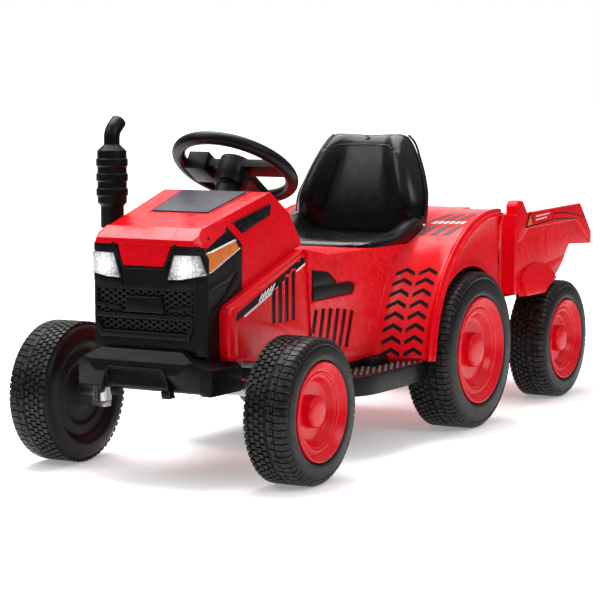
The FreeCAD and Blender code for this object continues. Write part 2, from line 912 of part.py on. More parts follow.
def front_shell():
    """Lower shell: two side panels, a shelf along the belt line and a floor over the front axle."""
    low = d.shell_low_z
    outer = across([
        (d.belt_front_y, low),
        (d.belt_front_y, d.belt_front_z),
        (d.belt_rear_y, d.belt_rear_z),
        (d.seam_y, d.seam_z),
        (d.seam_y, low),
    ], d.shell_half, "shell_outside")
    inner = across([
        (d.belt_front_y + d.wall, low + d.wall),
        (d.belt_front_y + d.wall, d.belt_front_z - d.wall),
        (d.belt_rear_y, d.belt_rear_z - d.wall),
        (d.seam_y, d.belt_rear_z),
        (d.seam_y + d.hood_opening, low + d.wall),
    ], d.shell_half - d.wall, "shell_inside")
    top = box((-d.hood_half + d.wall, d.hood_half - d.wall),
              (d.belt_front_y - 1, d.seam_y + 1), (low + d.wall, d.hood_top_z))
    hole = box((-d.crank_hole_half, d.crank_hole_half),
               (d.belt_front_y + d.crank_hole_front, d.mask_rear_y + d.crank_hole_rear),
               (low - 1, low + d.wall + 1))
    node("front_shell", without(outer, inner, top, hole))


def mask():
    """Black front mask: brow, lamp pockets, grille opening and cheeks that reach round the sides."""
    side = across([
        (d.hood_front_y, d.hood_front_z - d.wall),
        (d.mask_top_y, d.mask_top_z),
        (d.mask_rear_y, d.mask_mid_z),
        (d.mask_rear_y, belt(d.mask_rear_y)),
        (d.belt_front_y, d.belt_front_z),
        (d.belt_front_y, d.shell_low_z + 2),
        (d.mask_front_y, d.mask_low_z),
        (d.mask_front_y, d.nose_top_z - d.nose_rake),
    ], d.mask_half, "mask_side")
    plan = slab("plan", [
        (-d.mask_corner_x, d.mask_front_y), (d.mask_corner_x, d.mask_front_y),
        (d.mask_half, d.mask_corner_y), (d.mask_half, d.mask_rear_y),
        (-d.mask_half, d.mask_rear_y), (-d.mask_half, d.mask_corner_y),
    ], d.shell_low_z, d.hood_top_z, "mask_plan")
    skin = d.wall
    hollow = across([
        (d.hood_front_y + skin, d.hood_front_z - d.wall * 3),
        (d.mask_top_y, d.mask_top_z - d.wall * 2),
        (d.mask_rear_y + 1, d.mask_mid_z - d.wall * 2),
        (d.mask_rear_y + 1, d.shell_low_z),
        (d.belt_front_y, d.shell_low_z),
        (d.mask_front_y + d.lamp_depth, d.mask_low_z + d.wall),
        (d.mask_front_y + d.lamp_depth, d.nose_top_z - d.wall * 3),
    ], d.mask_half - skin, "mask_hollow")
    opening = slab("face", grille_outline(0), d.mask_front_y - 1, d.hood_front_y, "grille_opening")
    pocket = slab("face", lamp_outline(0), d.mask_front_y - 1, d.mask_front_y + d.lamp_depth + 1,
                  "lamp_pocket")
    node("grille_mask", without(shared(side, plan), hollow, opening, both(pocket)))
    mesh_y = d.mask_front_y + d.mesh_setback
    mesh = slab("face", grille_outline(d.part_gap / 2), mesh_y, mesh_y + d.wall, "mesh")
    node("front_grille", mesh)


def grille_outline(inset):
    """Opening of the grille: wide in the middle, narrower at its foot."""
    inset = as_size(inset)
    right = [
        (d.grille_low_half - inset, d.grille_low_z + inset),
        (d.grille_mid_half - inset, d.grille_mid_z),
        (d.grille_mid_half - inset, d.grille_top_z - inset),
    ]
    return right + [(-x, z) for x, z in reversed(right)]


def lamp_outline(inset):
    """Headlamp seen from the front: inner edge slants, outer edge is shorter."""
    inset = as_size(inset)
    return [
        (d.lamp_inner_x + inset, d.lamp_inner_z + inset),
        (d.lamp_inner_top_x + inset, d.lamp_top_z - inset),
        (d.lamp_outer_x - inset, d.lamp_top_z - inset),
        (d.lamp_outer_x - inset, d.lamp_outer_z + inset),
    ]


def lamps():
    """Reflector bowl behind a clear lens in each pocket, and the amber signal on each cheek."""
    back = d.mask_front_y + d.lamp_depth
    front = d.mask_front_y + d.lens_skin * 2
    shell = slab("face", lamp_outline(0.3), front, back, "reflector_shell")
    bowl = slab("face", lamp_outline(3), front - 1, back - 3, "reflector_bowl")
    node("headlamp_reflectors", both(without(shell, bowl)))
    lens = slab("face", lamp_outline(0.3), d.mask_front_y - 1, front, "lens")
    node("headlamp_lenses", both(lens))
    signal = slab("side", [
        (d.signal_front_y, d.signal_low_z), (d.signal_front_y, d.signal_high_z),
        (d.signal_rear_y - d.signal_rake_y, d.signal_rear_high_z - d.signal_rake_z),
        (d.signal_rear_y, d.signal_rear_low_z),
    ], d.mask_half, d.mask_half + d.panel, "signal")
    node("turn_signals", both(signal))


def bumper():
    """Front bumper: solid-looking bar with swept corners, hollow behind."""
    gap = d.part_gap * 3
    side = across([
        (d.mask_front_y - gap, d.mask_low_z - gap),
        (d.mask_front_y - 2, d.bumper_high_z),
        (d.bumper_top_y, d.bumper_high_z),
        (d.bumper_front_y + 4, d.bumper_brow_z),
        (d.bumper_front_y, d.bumper_nose_z),
        (d.bumper_chin_y, d.bumper_chin_z),
        (d.bumper_foot_y, d.bumper_low_z),
        (d.bumper_rear_y, d.bumper_low_z),
        (d.bumper_rear_y, d.bumper_rear_z),
        (d.belt_front_y - 1, d.shell_low_z - gap),
    ], d.bumper_half, "bumper_side")
    right = [
        (d.bumper_face_half, d.bumper_front_y), (d.bumper_cheek_x, d.bumper_cheek_y),
        (d.bumper_half, d.bumper_side_y), (d.bumper_half, d.bumper_rear_y),
    ]
    plan = slab("plan", right + [(-x, y) for x, y in reversed(right)],
                d.bumper_low_z, d.bumper_high_z, "bumper_plan")
    front = d.bumper_front_y + d.bumper_wall * 3
    hollow = across([
        (front, d.bumper_low_z - 1),
        (front, d.bumper_roof_z),
        (d.bumper_rear_y + 1, d.bumper_roof_z),
        (d.bumper_rear_y + 1, d.bumper_low_z - 1),
    ], d.bumper_half - d.bumper_wall * 3, "bumper_hollow")
    node("front_bumper", without(shared(side, plan), hollow))


def exhaust():
    """Stack on the driver's right: foot pipe, banded muffler, bent outlet and a bracket to the hood."""
    body = doc.addObject("PartDesign::Body", "exhaust_stack")
    low = d.muffler_low_z - d.stack_low_z
    high = d.muffler_high_z - d.stack_low_z
    bands = []
    for step in range(3):
        start = low + d.band_first + d.band_pitch * step
        bands += [(d.muffler_radius, start), (d.band_radius, start + 2),
                  (d.band_radius, start + d.band_width - 2), (d.muffler_radius, start + d.band_width)]
    outline = [(0, 0), (d.stack_radius, 0), (d.stack_radius, low - 4), (d.muffler_radius, low + 2)]
    outline += bands
    outline += [(d.muffler_radius, high - 4), (d.outlet_radius, high + 6), (0, high + 6)]
    turned(body, "Revolution", outline, "muffler", role="XZ_Plane", axis="Z_Axis")
    place(body, d.stack_x, d.stack_y, d.stack_low_z)
    foot = V(d.stack_x.value, d.stack_y.value, d.muffler_high_z.value + 4)
    bend = d.outlet_bend.value
    lean = math.radians(d.outlet_lean.value)
    start = foot + V(0, 0, d.outlet_rise.value)
    centre = start + V(0, bend, 0)
    halfway = centre + V(0, -bend * math.cos(lean / 2), bend * math.sin(lean / 2))
    end = centre + V(0, -bend * math.cos(lean), bend * math.sin(lean))
    way = V(0, math.sin(lean), math.cos(lean))
    route = Part.Wire([Part.makeLine(foot, start), Part.Arc(start, halfway, end).toShape(),
                       Part.makeLine(end, end + way * d.outlet_run.value)])
    ring = Part.Wire([Part.makeCircle(d.outlet_radius.value, foot, V(0, 0, 1))])
    pipe = doc.addObject("Part::Feature", "outlet")
    pipe.Shape = route.makePipeShell([ring], True, True)
    bracket = box((d.stack_x, -d.hood_half),
                  (d.stack_y - d.bracket_half, d.stack_y + d.bracket_half),
                  (d.bracket_low_z, d.bracket_high_z))
    node("exhaust_stack", united(body, pipe, bracket))
    body.Label = "muffler_turning"


# ---------------------------------------------------------------------------------------------------
# main body, floor, fenders, seat


def arch_height(y):
    """Height of the fender crown at a place along the tractor, up to its crest."""
    value = d.arch_z.value + math.sqrt(d.arch_radius.value ** 2 - (d.arch_y.value - y.value) ** 2)
    text = "(%s + sqrt(%s ^ 2 - (%s - %s) ^ 2))"
    return Size(value, text % (d.arch_z.text, d.arch_radius.text, d.arch_y.text, y.text))


def body_outline(inset):
    """Side outline of the main body: seam, deck under the seat, raised tail and axle box."""
    inset = as_size(inset)
    steps = int(d.tail_steps.value)
    tail = [d.deck_rear_y + (d.arch_y - d.deck_rear_y) * (step / steps) for step in range(steps + 1)]
    return [
        (d.seam_y + d.part_gap + inset, d.body_low_z + inset),
        (d.seam_y + d.part_gap + inset, d.seam_z),
        (d.belt_rear_y + d.part_gap + inset, d.belt_rear_z - inset * 2),
        (d.deck_front_y, d.deck_z - inset),
        (d.deck_rear_y + inset, d.deck_z - inset),
        *((y + inset, arch_height(y) - inset) for y in tail[:-1]),
        (d.body_rear_y - inset, arch_height(d.arch_y) - inset),
        (d.body_rear_y - inset, d.tail_low_z + inset),
        (d.axle_box_rear_y, d.axle_box_low_z + inset),
        (d.axle_box_front_y + inset, d.axle_box_low_z + inset),
        (d.axle_box_front_y + inset, d.body_low_z + inset),
    ]


def main_body():
    outer = across(body_outline(0), d.body_half, "body_outside")
    inner = across(body_outline(d.wall + 1), d.body_half - d.wall, "body_inside")
    window = box((-d.battery_half - d.window_margin, d.battery_half + d.window_margin),
                 (d.seam_y + d.pan_wall, d.axle_box_front_y - d.step_rim),
                 (d.body_low_z - 1, d.body_low_z + d.wall + 2))
    axle = rod("x", d.axle_radius + 1, -d.rear_outer_x, d.rear_outer_x, d.rear_axle_y, d.large_radius)
    boss = rod("x", d.drive_boss_radius + 1, -d.rear_outer_x, d.rear_outer_x, d.rear_axle_y,
               d.large_radius)
    socket = rod("x", d.socket_radius + d.part_gap, -d.body_half - 1, -d.body_half + d.wall * 2,
                 d.socket_y, d.socket_z)
    node("main_body", without(outer, inner, window, axle, boss, socket))


def floor_pan():
    """Black pan that closes the main body from below and carries the foot rests."""
    y = (d.seam_y + d.part_gap, d.axle_box_front_y - 1)
    plate = box((-d.body_half, d.body_half), y, (d.pan_low_z, d.body_low_z))
    recess = box((-d.body_half + d.pan_wall, d.body_half - d.pan_wall),
                 (d.seam_y + d.pan_wall, d.axle_box_front_y - d.pan_wall - 1),
                 (d.pan_low_z - 1, d.body_low_z - d.pan_floor))
    node("floor_pan", without(plate, recess))


def footrest():
    """Step beside the body with a raised heel block; the fender stands on its rear end."""
    x = d.body_half
    step = slab("plan", [
        (x, d.step_front_y), (d.step_outer_front_x, d.step_front_y),
        (d.step_outer_mid_x, d.step_mid_y), (d.step_outer_rear_x, d.step_rear_y), (x, d.step_rear_y),
    ], d.step_low_z, d.step_high_z, "step")
    recess = slab("plan", [
        (x + d.step_wall, d.step_front_y + d.step_end),
        (d.step_outer_front_x - d.step_rim, d.step_front_y + d.step_end),
        (d.step_outer_mid_x - d.step_end, d.step_mid_y),
        (d.step_outer_rear_x - d.step_rim, d.step_rear_y - d.step_end),
        (x + d.step_wall, d.step_rear_y - d.step_end),
    ], d.step_low_z - 1, d.step_high_z - d.step_wall, "step_recess")
    heel = box((x, d.heel_x), (d.heel_front_y, d.heel_rear_y), (d.step_high_z - 1, d.heel_z))
    pair("footrest", without(united(step, heel), recess))


def fender():
    """Mudguard over the rear wheel: crown, outer side with the wheel arch, hollow from the body side."""
    skin = d.fender_wall
    start = d.body_half
    crown = rod("x", d.arch_radius, start, d.fender_outer_x, d.arch_y, d.arch_z, "crown")
    front = d.arch_y - d.arch_radius - 1
    top = d.arch_z + d.arch_radius + 1
    outer = shared(crown, box((start, d.fender_outer_x), (front, d.fender_rear_y),
                              (d.fender_low_z, top)))
    inside = rod("x", d.arch_radius - skin, start - 1, d.fender_outer_x - skin, d.arch_y, d.arch_z,
                 "crown_inside")
    inner = shared(inside, box((start - 1, d.fender_outer_x - skin), (front, d.fender_rear_y - skin),
                               (d.fender_low_z + skin, top)))
    arch = rod("x", d.wheel_arch_radius, start - 1, d.fender_outer_x + 1, d.rear_axle_y,
               d.large_radius)
    lining = rod("x", d.wheel_arch_radius + skin, start - 1, d.fender_outer_x + 1, d.rear_axle_y,
                 d.large_radius)
    pair("fender", without(outer, without(inner, lining), arch))


def side_trims():
    """Black insert along each side of the body in front of the seat."""
    insert = slab("side", [
        (d.trim_front_y, d.trim_low_z), (d.trim_front_y, d.trim_top_z),
        (d.trim_step_y, d.trim_step_z), (d.trim_rear_y - d.trim_round_y, d.trim_bar_z),
        (d.trim_rear_y, d.trim_bar_z - d.trim_round_z),
        (d.trim_rear_y - d.trim_round_y, d.trim_tip_z),
    ], d.body_half, d.body_half + d.panel, "insert")
    node("side_trims", both(insert))


def seat():
    """Moulded bucket seat: side bolsters, sunk cushion and a tall back."""
    base = d.deck_z
    front = d.seat_front_y
    top = d.seat_top_z
    outer = across([
        (front, base), (front, d.cushion_front_z + d.seat_lip), (d.wing_front_y, d.wing_front_z),
        (d.wing_mid_y, d.wing_mid_z), (d.wing_rear_y, d.wing_rear_z),
        (d.wing_top_y, d.wing_top_z), (d.crown_front_y, top), (d.seat_top_y, d.crown_rear_z),
        (d.seat_top_y - d.seat_lip, d.back_top_z), (d.back_low_y, d.back_low_z), (d.seat_foot_y, base),
    ], d.seat_wide, "seat_side")
    half = [
        (d.seat_half - d.seat_taper, base), (d.seat_wide, d.seat_wide_z),
        (d.seat_shoulder_half, d.seat_shoulder_z), (d.seat_top_half, top),
    ]
    face = slab("face", half + [(-x, z) for x, z in reversed(half)], front - 1, d.seat_top_y + 1,
                "seat_face")
    bucket = across([
        (front - 1, d.cushion_front_z), (d.wing_front_y, d.cushion_front_z + d.bucket_rise),
        (d.cushion_rear_y, d.cushion_rear_z), (d.cushion_rear_y + d.bucket_rake, d.bucket_corner_z),
        (d.back_face_top_y, top - d.seat_lap), (front - 1, top - d.seat_lap),
    ], d.bucket_half, "bucket")
    roof = d.cushion_front_z - d.seat_skin
    hollow = across([
        (front + d.seat_lap, base - 1), (front + d.seat_lap, roof),
        (d.seat_hollow_y, roof), (d.seat_hollow_y, base - 1),
    ], d.bucket_half, "seat_hollow")
    well = rod("x", d.bolt_radius, d.bolt_x, d.seat_wide + 1, d.bolt_y, d.bolt_z, "bolt_well")
    bolt = rod("x", d.bolt_radius - d.part_gap, d.bolt_x, d.bolt_x + d.bolt_reach, d.bolt_y,
               d.bolt_z, "seat_bolt")
    node("seat_bolts", both(bolt))
    node("seat", without(shared(outer, face), bucket, hollow, both(well)))


def dashboard():
    """Slanted black panel behind the hood with the column bearing and the switch well."""
    skin = d.dash_skin
    top_y = d.hood_top_y + d.dash_inset_y
    top_z = d.hood_top_z - d.dash_inset_z
    brow_y = d.brow_y - d.dash_sink / 2
    tail_y = d.hood_tail_y - d.dash_sink
    panel = across([
        (top_y, top_z), (brow_y, d.brow_z - d.dash_sink), (tail_y, d.hood_tail_z),
        (tail_y - skin, d.hood_tail_z), (brow_y - skin, d.brow_z - skin), (top_y, top_z - skin),
    ], d.dash_half, "dash_panel")
    start = -d.hub_depth - d.boss_gap
    boss = tilted(rod("z", d.boss_radius, start - d.boss_length, start, 0, 0, "bearing"))
    bore = tilted(rod("z", d.dash_bore, -d.column_length / 2, 0, 0, 0, "bearing_bore"))
    well = box((d.rocker_x - d.rocker_half - d.rocker_well, d.rocker_x + d.rocker_half + d.rocker_well),
               rocker_span(d.rocker_well), (d.hood_tail_z, d.brow_z))
    pin_hole = rocker_pin(d.rocker_pin_radius + d.part_gap, d.rocker_pin_reach + 1)
    node("dashboard", without(united(panel, boss), bore, well, pin_hole))


def rocker_span(grow):
    """Front and rear limits of the dash switch."""
    middle = rocker_middle()
    return (middle - d.rocker_depth / 2 - grow, middle + d.rocker_depth / 2 + grow)


def rocker_middle():
    return (d.brow_y + d.hood_tail_y) / 2 - 3


def rocker_pin(radius, reach):
    """The cross pin that the dash switch tips about."""
    return rod("x", radius, d.rocker_x - d.rocker_half - reach, d.rocker_x + d.rocker_half + reach,
               rocker_middle(), d.rocker_z, "rocker_pin")


def power_switch():
    """Rocker in the slanted dash; it tips about a pin that runs across the tractor."""
    rocker = box((d.rocker_x - d.rocker_half, d.rocker_x + d.rocker_half), rocker_span(0),
                 (d.rocker_low_z, d.rocker_high_z))
    node("power_switch", united(rocker, rocker_pin(d.rocker_pin_radius, d.rocker_pin_reach)))


def pedal():
    """Accelerator on the driver's right foot rest, hinged at its heel edge."""
    low = d.pedal_low_z
    side = (-d.pedal_x - d.pedal_half, -d.pedal_x + d.pedal_half)
    plate = slab("side", [
        (d.pedal_front_y, d.pedal_high_z), (d.pedal_front_y, d.pedal_high_z - d.pedal_skin),
        (d.pedal_rear_y, low), (d.pedal_rear_y, low + d.pedal_skin),
    ], *side, "pedal")
    barrel = rod("x", d.pedal_barrel, *side, d.pedal_rear_y, low + d.pedal_skin / 2, "pedal_barrel")
    node("accelerator_pedal", united(plate, barrel))


def electrics():
    """Battery and control box on the floor pan, gearboxes on the axle, charging socket in the side."""
    z = d.body_low_z
    node("battery", box((-d.battery_half, d.battery_half),
                        (d.battery_front_y, d.battery_front_y + d.battery_depth),
                        (z, z + d.battery_height)))
    node("control_module", box((-d.module_half, d.module_half),
                               (d.module_front_y, d.module_front_y + d.module_depth),
                               (z, z + d.module_height)))
    y = d.rear_axle_y
    inner = d.rear_outer_x - d.large_width + d.inner_dish
    case = box((d.gearbox_inner_x, d.body_half - d.wall - 1),
               (y - d.gearbox_depth / 2, y + d.gearbox_depth / 2),
               (d.axle_box_low_z + d.gearbox_lift, d.axle_box_low_z + d.gearbox_lift + d.gearbox_height))
    boss = rod("x", d.drive_boss_radius, d.gearbox_inner_x + d.gearbox_boss, inner - d.end_play, y,
               d.large_radius)
    bore = rod("x", d.axle_radius, 0, d.rear_outer_x, y, d.large_radius)
    node("gearboxes", both(without(united(case, boss), bore)))
    x = -d.body_half
    flange = rod("x", d.socket_flange, x - 3, x, d.socket_y, d.socket_z, "socket_flange")
    barrel = rod("x", d.socket_radius, x, x + d.socket_length + 4, d.socket_y, d.socket_z)
    hole = rod("x", d.socket_bore, x - 4, x + d.socket_length - 3, d.socket_y, d.socket_z)
    node("charge_socket", without(united(flange, barrel), hole))


# ---------------------------------------------------------------------------------------------------
# hitch and trailer


def hitch():
    """Tongue on the tractor, drawbar under it and the pin that drops through both."""
    y = d.hitch_y
    play = d.bore_play
    tongue = united(
        box((-d.tongue_half, d.tongue_half), (d.body_rear_y, y), (d.tongue_low_z, d.tongue_high_z)),
        rod("z", d.tongue_half, d.tongue_low_z, d.tongue_high_z, 0, y))
    hole = rod("z", d.pin_radius + play, d.drawbar_low_z - 1, d.tongue_high_z + 1, 0, y)
    node("hitch_tongue", without(tongue, hole))
    high = d.tongue_low_z - d.part_gap * 2
    bar = united(
        box((-d.drawbar_half, d.drawbar_half), (y, d.drawbar_rear_y), (d.drawbar_low_z, high)),
        rod("z", d.drawbar_half, d.drawbar_low_z, high, 0, y),
        box((-d.drawbar_half * 2, d.drawbar_half * 2), (d.tub_front_y + 30, d.drawbar_rear_y),
            (d.drawbar_low_z, d.tub_low_z)))
    eye = rod("z", d.pin_radius + d.part_gap, d.drawbar_low_z - 1, d.tongue_high_z, 0, y)
    node("trailer_drawbar", without(bar, eye))
    pin = united(
        rod("z", d.pin_radius, d.pin_low_z, d.pin_high_z, 0, y),
        rod("z", d.pin_head_radius, d.tongue_high_z, d.tongue_high_z + d.pin_head, 0, y))
    node("hitch_pin", pin)


def tub():
    """Trailer bed: a well between the wheels, flared sides with ears, and a raised shelf for a tail."""
    wall = d.tub_wall
    front = d.tub_front_y
    rear = d.tub_rear_y
    rim = d.tub_rim_z
    shelf = d.tub_shelf_y
    shelf_z = d.tub_tail_z + wall
    over = d.ear_z + 1
    well_rear = d.tub_curve_y - 20
    lower = across([(front + d.tub_toe, d.tub_low_z), (front, d.tub_side_z), (front, rim), (shelf, rim),
                    (shelf, shelf_z), (well_rear, d.tub_low_z)], d.tub_low_half, "well")
    upper = across([(front, d.tub_flare_z), (front, rim), (d.tub_peak_y, d.tub_peak_z),
                    (rear, d.tub_lip_z), (rear, d.tub_tail_z), (shelf, shelf_z),
                    (d.tub_curve_y, d.tub_curve_z), (d.tub_arch_rear_y, d.tub_arch_rear_z),
                    (d.tub_arch_mid_y, d.tub_arch_mid_z), (d.tub_arch_front_y, d.tub_arch_front_z),
                    (d.tub_arch_front_y - d.tub_toe, d.tub_flare_z)], d.tub_half, "flare")
    ear = box((d.ear_inner_x, d.tub_half), (d.ear_front_y, d.ear_rear_y), (d.ear_low_z, d.ear_z))
    hanger = box((d.tub_low_half - d.hanger_skin, d.tub_low_half),
                 (d.trailer_axle_y - d.hanger_half, d.trailer_axle_y + d.hanger_half),
                 (d.small_radius - d.hanger_skin, d.tub_low_z + 1))
    outside = united(lower, upper, both(ear), both(hanger))
    well = across([(front + wall + d.tub_toe, d.tub_low_z + wall), (front + wall, d.tub_side_z),
                   (front + wall, over), (shelf + 1, over), (shelf - wall, shelf_z),
                   (well_rear - 4, d.tub_low_z + wall)], d.tub_low_half - wall, "well_inside")
    floor = d.tub_side_z + wall * 2
    space = across([(d.ear_rear_y, floor), (d.ear_rear_y, over), (rear - wall, over),
                    (rear - wall, d.tub_tail_z + wall), (shelf, shelf_z + wall),
                    (d.tub_curve_y - wall, floor + 2)], d.tub_half - wall, "flare_inside")
    fore = box((-d.ear_inner_x + wall, d.ear_inner_x - wall), (front + wall, d.ear_rear_y + 1),
               (floor, over))
    tailgate = box((-d.tub_half + wall, d.tub_half - wall), (d.tub_peak_y, rear + 1),
                   (d.tub_lip_z, d.ear_z))
    axle = rod("x", d.axle_radius, -d.tub_half, d.tub_half, d.trailer_axle_y, d.small_radius)
    node("trailer_tub", without(outside, well, space, fore, tailgate, axle))
    reflector = slab("side", [
        (d.ear_rear_y + 8, d.reflector_low_z), (d.ear_rear_y + 8, d.reflector_high_z - 2),
        (d.reflector_rear_y, d.reflector_low_z + 4),
    ], d.tub_half, d.tub_half + d.panel, "reflector")
    node("trailer_reflectors", both(reflector))


# ---------------------------------------------------------------------------------------------------
# build, check and write


def build():
    wheel("front", d.small_radius, d.small_width, d.front_outer_x, d.front_axle_y)
    wheel("rear", d.large_radius, d.large_width, d.rear_outer_x, d.rear_axle_y)
    wheel("trailer", d.small_radius, d.small_width, d.trailer_outer_x, d.trailer_axle_y)
    for make in (rear_axle, trailer_axle, front_axle, knuckle, tie_rod, steering_wheel,
                 steering_column, hood, hood_trims, front_shell, mask, lamps, bumper, exhaust,
                 main_body, floor_pan, footrest, fender, side_trims, seat, dashboard, power_switch,
                 pedal, electrics, hitch, tub):
        make()


def check():
    doc.recompute()
    for thing in doc.Objects:
        if "Invalid" in thing.State or "Error" in thing.State:
            raise RuntimeError("%s did not build: %s" % (thing.Label, thing.State))
    for label, thing in nodes.items():
        shape = thing.Shape
        if shape.isNull() or not shape.isValid() or not shape.Solids:
            raise RuntimeError("%s has no valid solid" % label)


build()
check()
os.makedirs("parts", exist_ok=True)
for label, thing in nodes.items():
    thing.Shape.exportStep("parts/%s.step" % label)
print(len(nodes), "nodes written")
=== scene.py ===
"""Toy tractor with a trailer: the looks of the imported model.

Metres, in the frame of the CAD model: it drives towards -Y, +X is the driver's left, and Z = 0 is the ground.
"""

import json
import math

import bmesh
import bpy
from mathutils import Matrix, Vector
from mathutils.bvhtree import BVHTree

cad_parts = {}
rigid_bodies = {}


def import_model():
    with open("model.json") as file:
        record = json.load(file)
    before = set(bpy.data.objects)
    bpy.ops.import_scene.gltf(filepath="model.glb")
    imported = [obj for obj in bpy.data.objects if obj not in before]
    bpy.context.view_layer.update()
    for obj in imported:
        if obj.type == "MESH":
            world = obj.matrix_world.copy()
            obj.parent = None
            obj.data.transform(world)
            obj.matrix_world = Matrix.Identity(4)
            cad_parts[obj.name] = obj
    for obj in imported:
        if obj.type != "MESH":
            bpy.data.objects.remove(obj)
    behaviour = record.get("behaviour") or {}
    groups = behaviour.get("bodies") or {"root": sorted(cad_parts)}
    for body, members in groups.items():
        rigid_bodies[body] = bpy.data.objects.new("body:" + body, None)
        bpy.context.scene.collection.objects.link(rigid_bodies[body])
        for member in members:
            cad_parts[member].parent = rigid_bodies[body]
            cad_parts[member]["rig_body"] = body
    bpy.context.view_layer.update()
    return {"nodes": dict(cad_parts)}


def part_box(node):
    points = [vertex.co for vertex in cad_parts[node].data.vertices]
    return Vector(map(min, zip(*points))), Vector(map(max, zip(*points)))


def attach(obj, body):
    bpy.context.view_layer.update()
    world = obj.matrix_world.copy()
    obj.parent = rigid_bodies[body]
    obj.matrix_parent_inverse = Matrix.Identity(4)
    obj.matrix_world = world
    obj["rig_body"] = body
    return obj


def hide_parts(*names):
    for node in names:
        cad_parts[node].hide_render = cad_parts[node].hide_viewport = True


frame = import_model()

MM = 0.001
SIDES = (("left", 1), ("right", -1))
AXES = ("front", "rear", "trailer")
GLOSS_SPREAD = 0.06


# ---------------------------------------------------------------------------------------------------
# materials


def shader(name):
    """A new material with its Principled shader."""
    made = bpy.data.materials.new(name)
    made.use_nodes = True
    return made, made.node_tree, made.node_tree.nodes["Principled BSDF"]


def plug(tree, node, **sockets):
    """Link each socket to the output given for it, or set its value; an underscore stands for a space."""
    for name, value in sockets.items():
        socket = node.inputs[name.replace("_", " ")]
        if isinstance(value, bpy.types.NodeSocket):
            tree.links.new(value, socket)
        else:
            socket.default_value = value
    return node.outputs


def added(tree, kind, **sockets):
    """The outputs of a new node with these sockets."""
    return plug(tree, tree.nodes.new("ShaderNode" + kind), **sockets)


def coordinate(tree, kind="Object"):
    """Where a point is, in the object's own space or as a heading on the world."""
    return added(tree, "TexCoord")[kind]


def noise(tree, scale, detail=3.0):
    """Noise in the object's own space."""
    return added(tree, "TexNoise", Scale=scale, Detail=detail, Vector=coordinate(tree))["Fac"]


def distance(tree):
    """How far a point is from the object's own origin."""
    made = tree.nodes.new("ShaderNodeVectorMath")
    made.operation = "LENGTH"
    tree.links.new(coordinate(tree), made.inputs[0])
    return made.outputs["Value"]


def ramp(tree, value, low, high, to_low=0.0, to_high=1.0):
    """value, stretched from low..high to to_low..to_high."""
    ends = {"From_Min": low, "From_Max": high, "To_Min": to_low, "To_Max": to_high}
    return added(tree, "MapRange", Value=value, **ends)["Result"]


def mixed(tree, share, first, second):
    """A colour between first and second, by share."""
    made = tree.nodes.new("ShaderNodeMix")
    made.data_type = "RGBA"
    tree.links.new(share, made.inputs["Factor"])
    for socket, colour in ((made.inputs["A"], first), (made.inputs["B"], second)):
        if isinstance(colour, bpy.types.NodeSocket):
            tree.links.new(colour, socket)
        else:
            socket.default_value = (*colour, 1)
    return made.outputs["Result"]


def combined(tree, operation, one, two):
    """Two values put together by a maths node."""
    made = tree.nodes.new("ShaderNodeMath")
    made.operation = operation
    tree.links.new(one, made.inputs[0])
    tree.links.new(two, made.inputs[1])
    return made.outputs["Value"]


def relief(tree, height, strength, reach):
    """The normal of a surface from which a height stands out."""
    return added(tree, "Bump", Strength=strength, Distance=reach, Height=height)["Normal"]


def moulded(name, colour, worn, roughness, grain=1400, depth=0.15, metallic=0.0, shine=0.35):
    """Moulded plastic or metal: fine grain, slow colour and gloss changes, and edges that are worn paler."""
    made, tree, body = shader(name)
    patches = ramp(tree, noise(tree, 9, 4), 0.3, 0.7)
    tone = mixed(tree, patches, [c * 0.93 for c in colour], [c * 1.07 for c in colour])
    rubbed = ramp(tree, added(tree, "NewGeometry")["Pointiness"], 0.54, 0.64, 0, 0.35)
    scuffs = combined(tree, "MULTIPLY", rubbed, ramp(tree, noise(tree, 160, 5), 0.42, 0.66))
    gloss = ramp(tree, noise(tree, 55, 5), 0.3, 0.7, roughness - GLOSS_SPREAD, roughness + GLOSS_SPREAD)
    plug(tree, body, Base_Color=mixed(tree, scuffs, tone, worn), Roughness=gloss,
         Normal=relief(tree, noise(tree, grain, 2), depth, 0.15 * MM),
         Specular_IOR_Level=shine, Metallic=metallic)
    return made


def lit_lamp():
    """A lit headlamp: facets under a clear skin, brightest around the lamp's own middle."""
    made, tree, body = shader("lit_lamp")
    glow = ramp(tree, distance(tree), 8 * MM, 30 * MM, 1.3, 0.06)
    cells = added(tree, "TexVoronoi", Scale=190, Vector=coordinate(tree))["Distance"]
    facets = ramp(tree, cells, 0.1, 0.7, 1.15, 0.6)
    plug(tree, body, Emission_Strength=combined(tree, "MULTIPLY", glow, facets),
         Normal=relief(tree, cells, 0.7, 2 * MM), Base_Color=(0.30, 0.31, 0.34, 1), Metallic=0.6,
         Roughness=0.16, Coat_Weight=1.0, Coat_Roughness=0.05, Emission_Color=(1, 1, 1, 1))
    return made


def fluted_lens(name, colour, roughness, transmission, glow):
    """Tinted clear plastic with fine vertical flutes."""
    made, tree, body = shader(name)
    flutes = added(tree, "TexWave", Scale=60, Distortion=0.4, Vector=coordinate(tree))["Fac"]
    tint = mixed(tree, ramp(tree, noise(tree, 60), 0.3, 0.7), [c * 0.9 for c in colour], colour)
    gloss = ramp(tree, noise(tree, 90), 0.3, 0.7, roughness * 0.8, roughness * 1.3)
    plug(tree, body, Base_Color=tint, Roughness=gloss, Normal=relief(tree, flutes, 0.25, 0.4 * MM),
         Transmission_Weight=transmission, IOR=1.49, Emission_Color=(*colour, 1), Emission_Strength=glow)
    return made


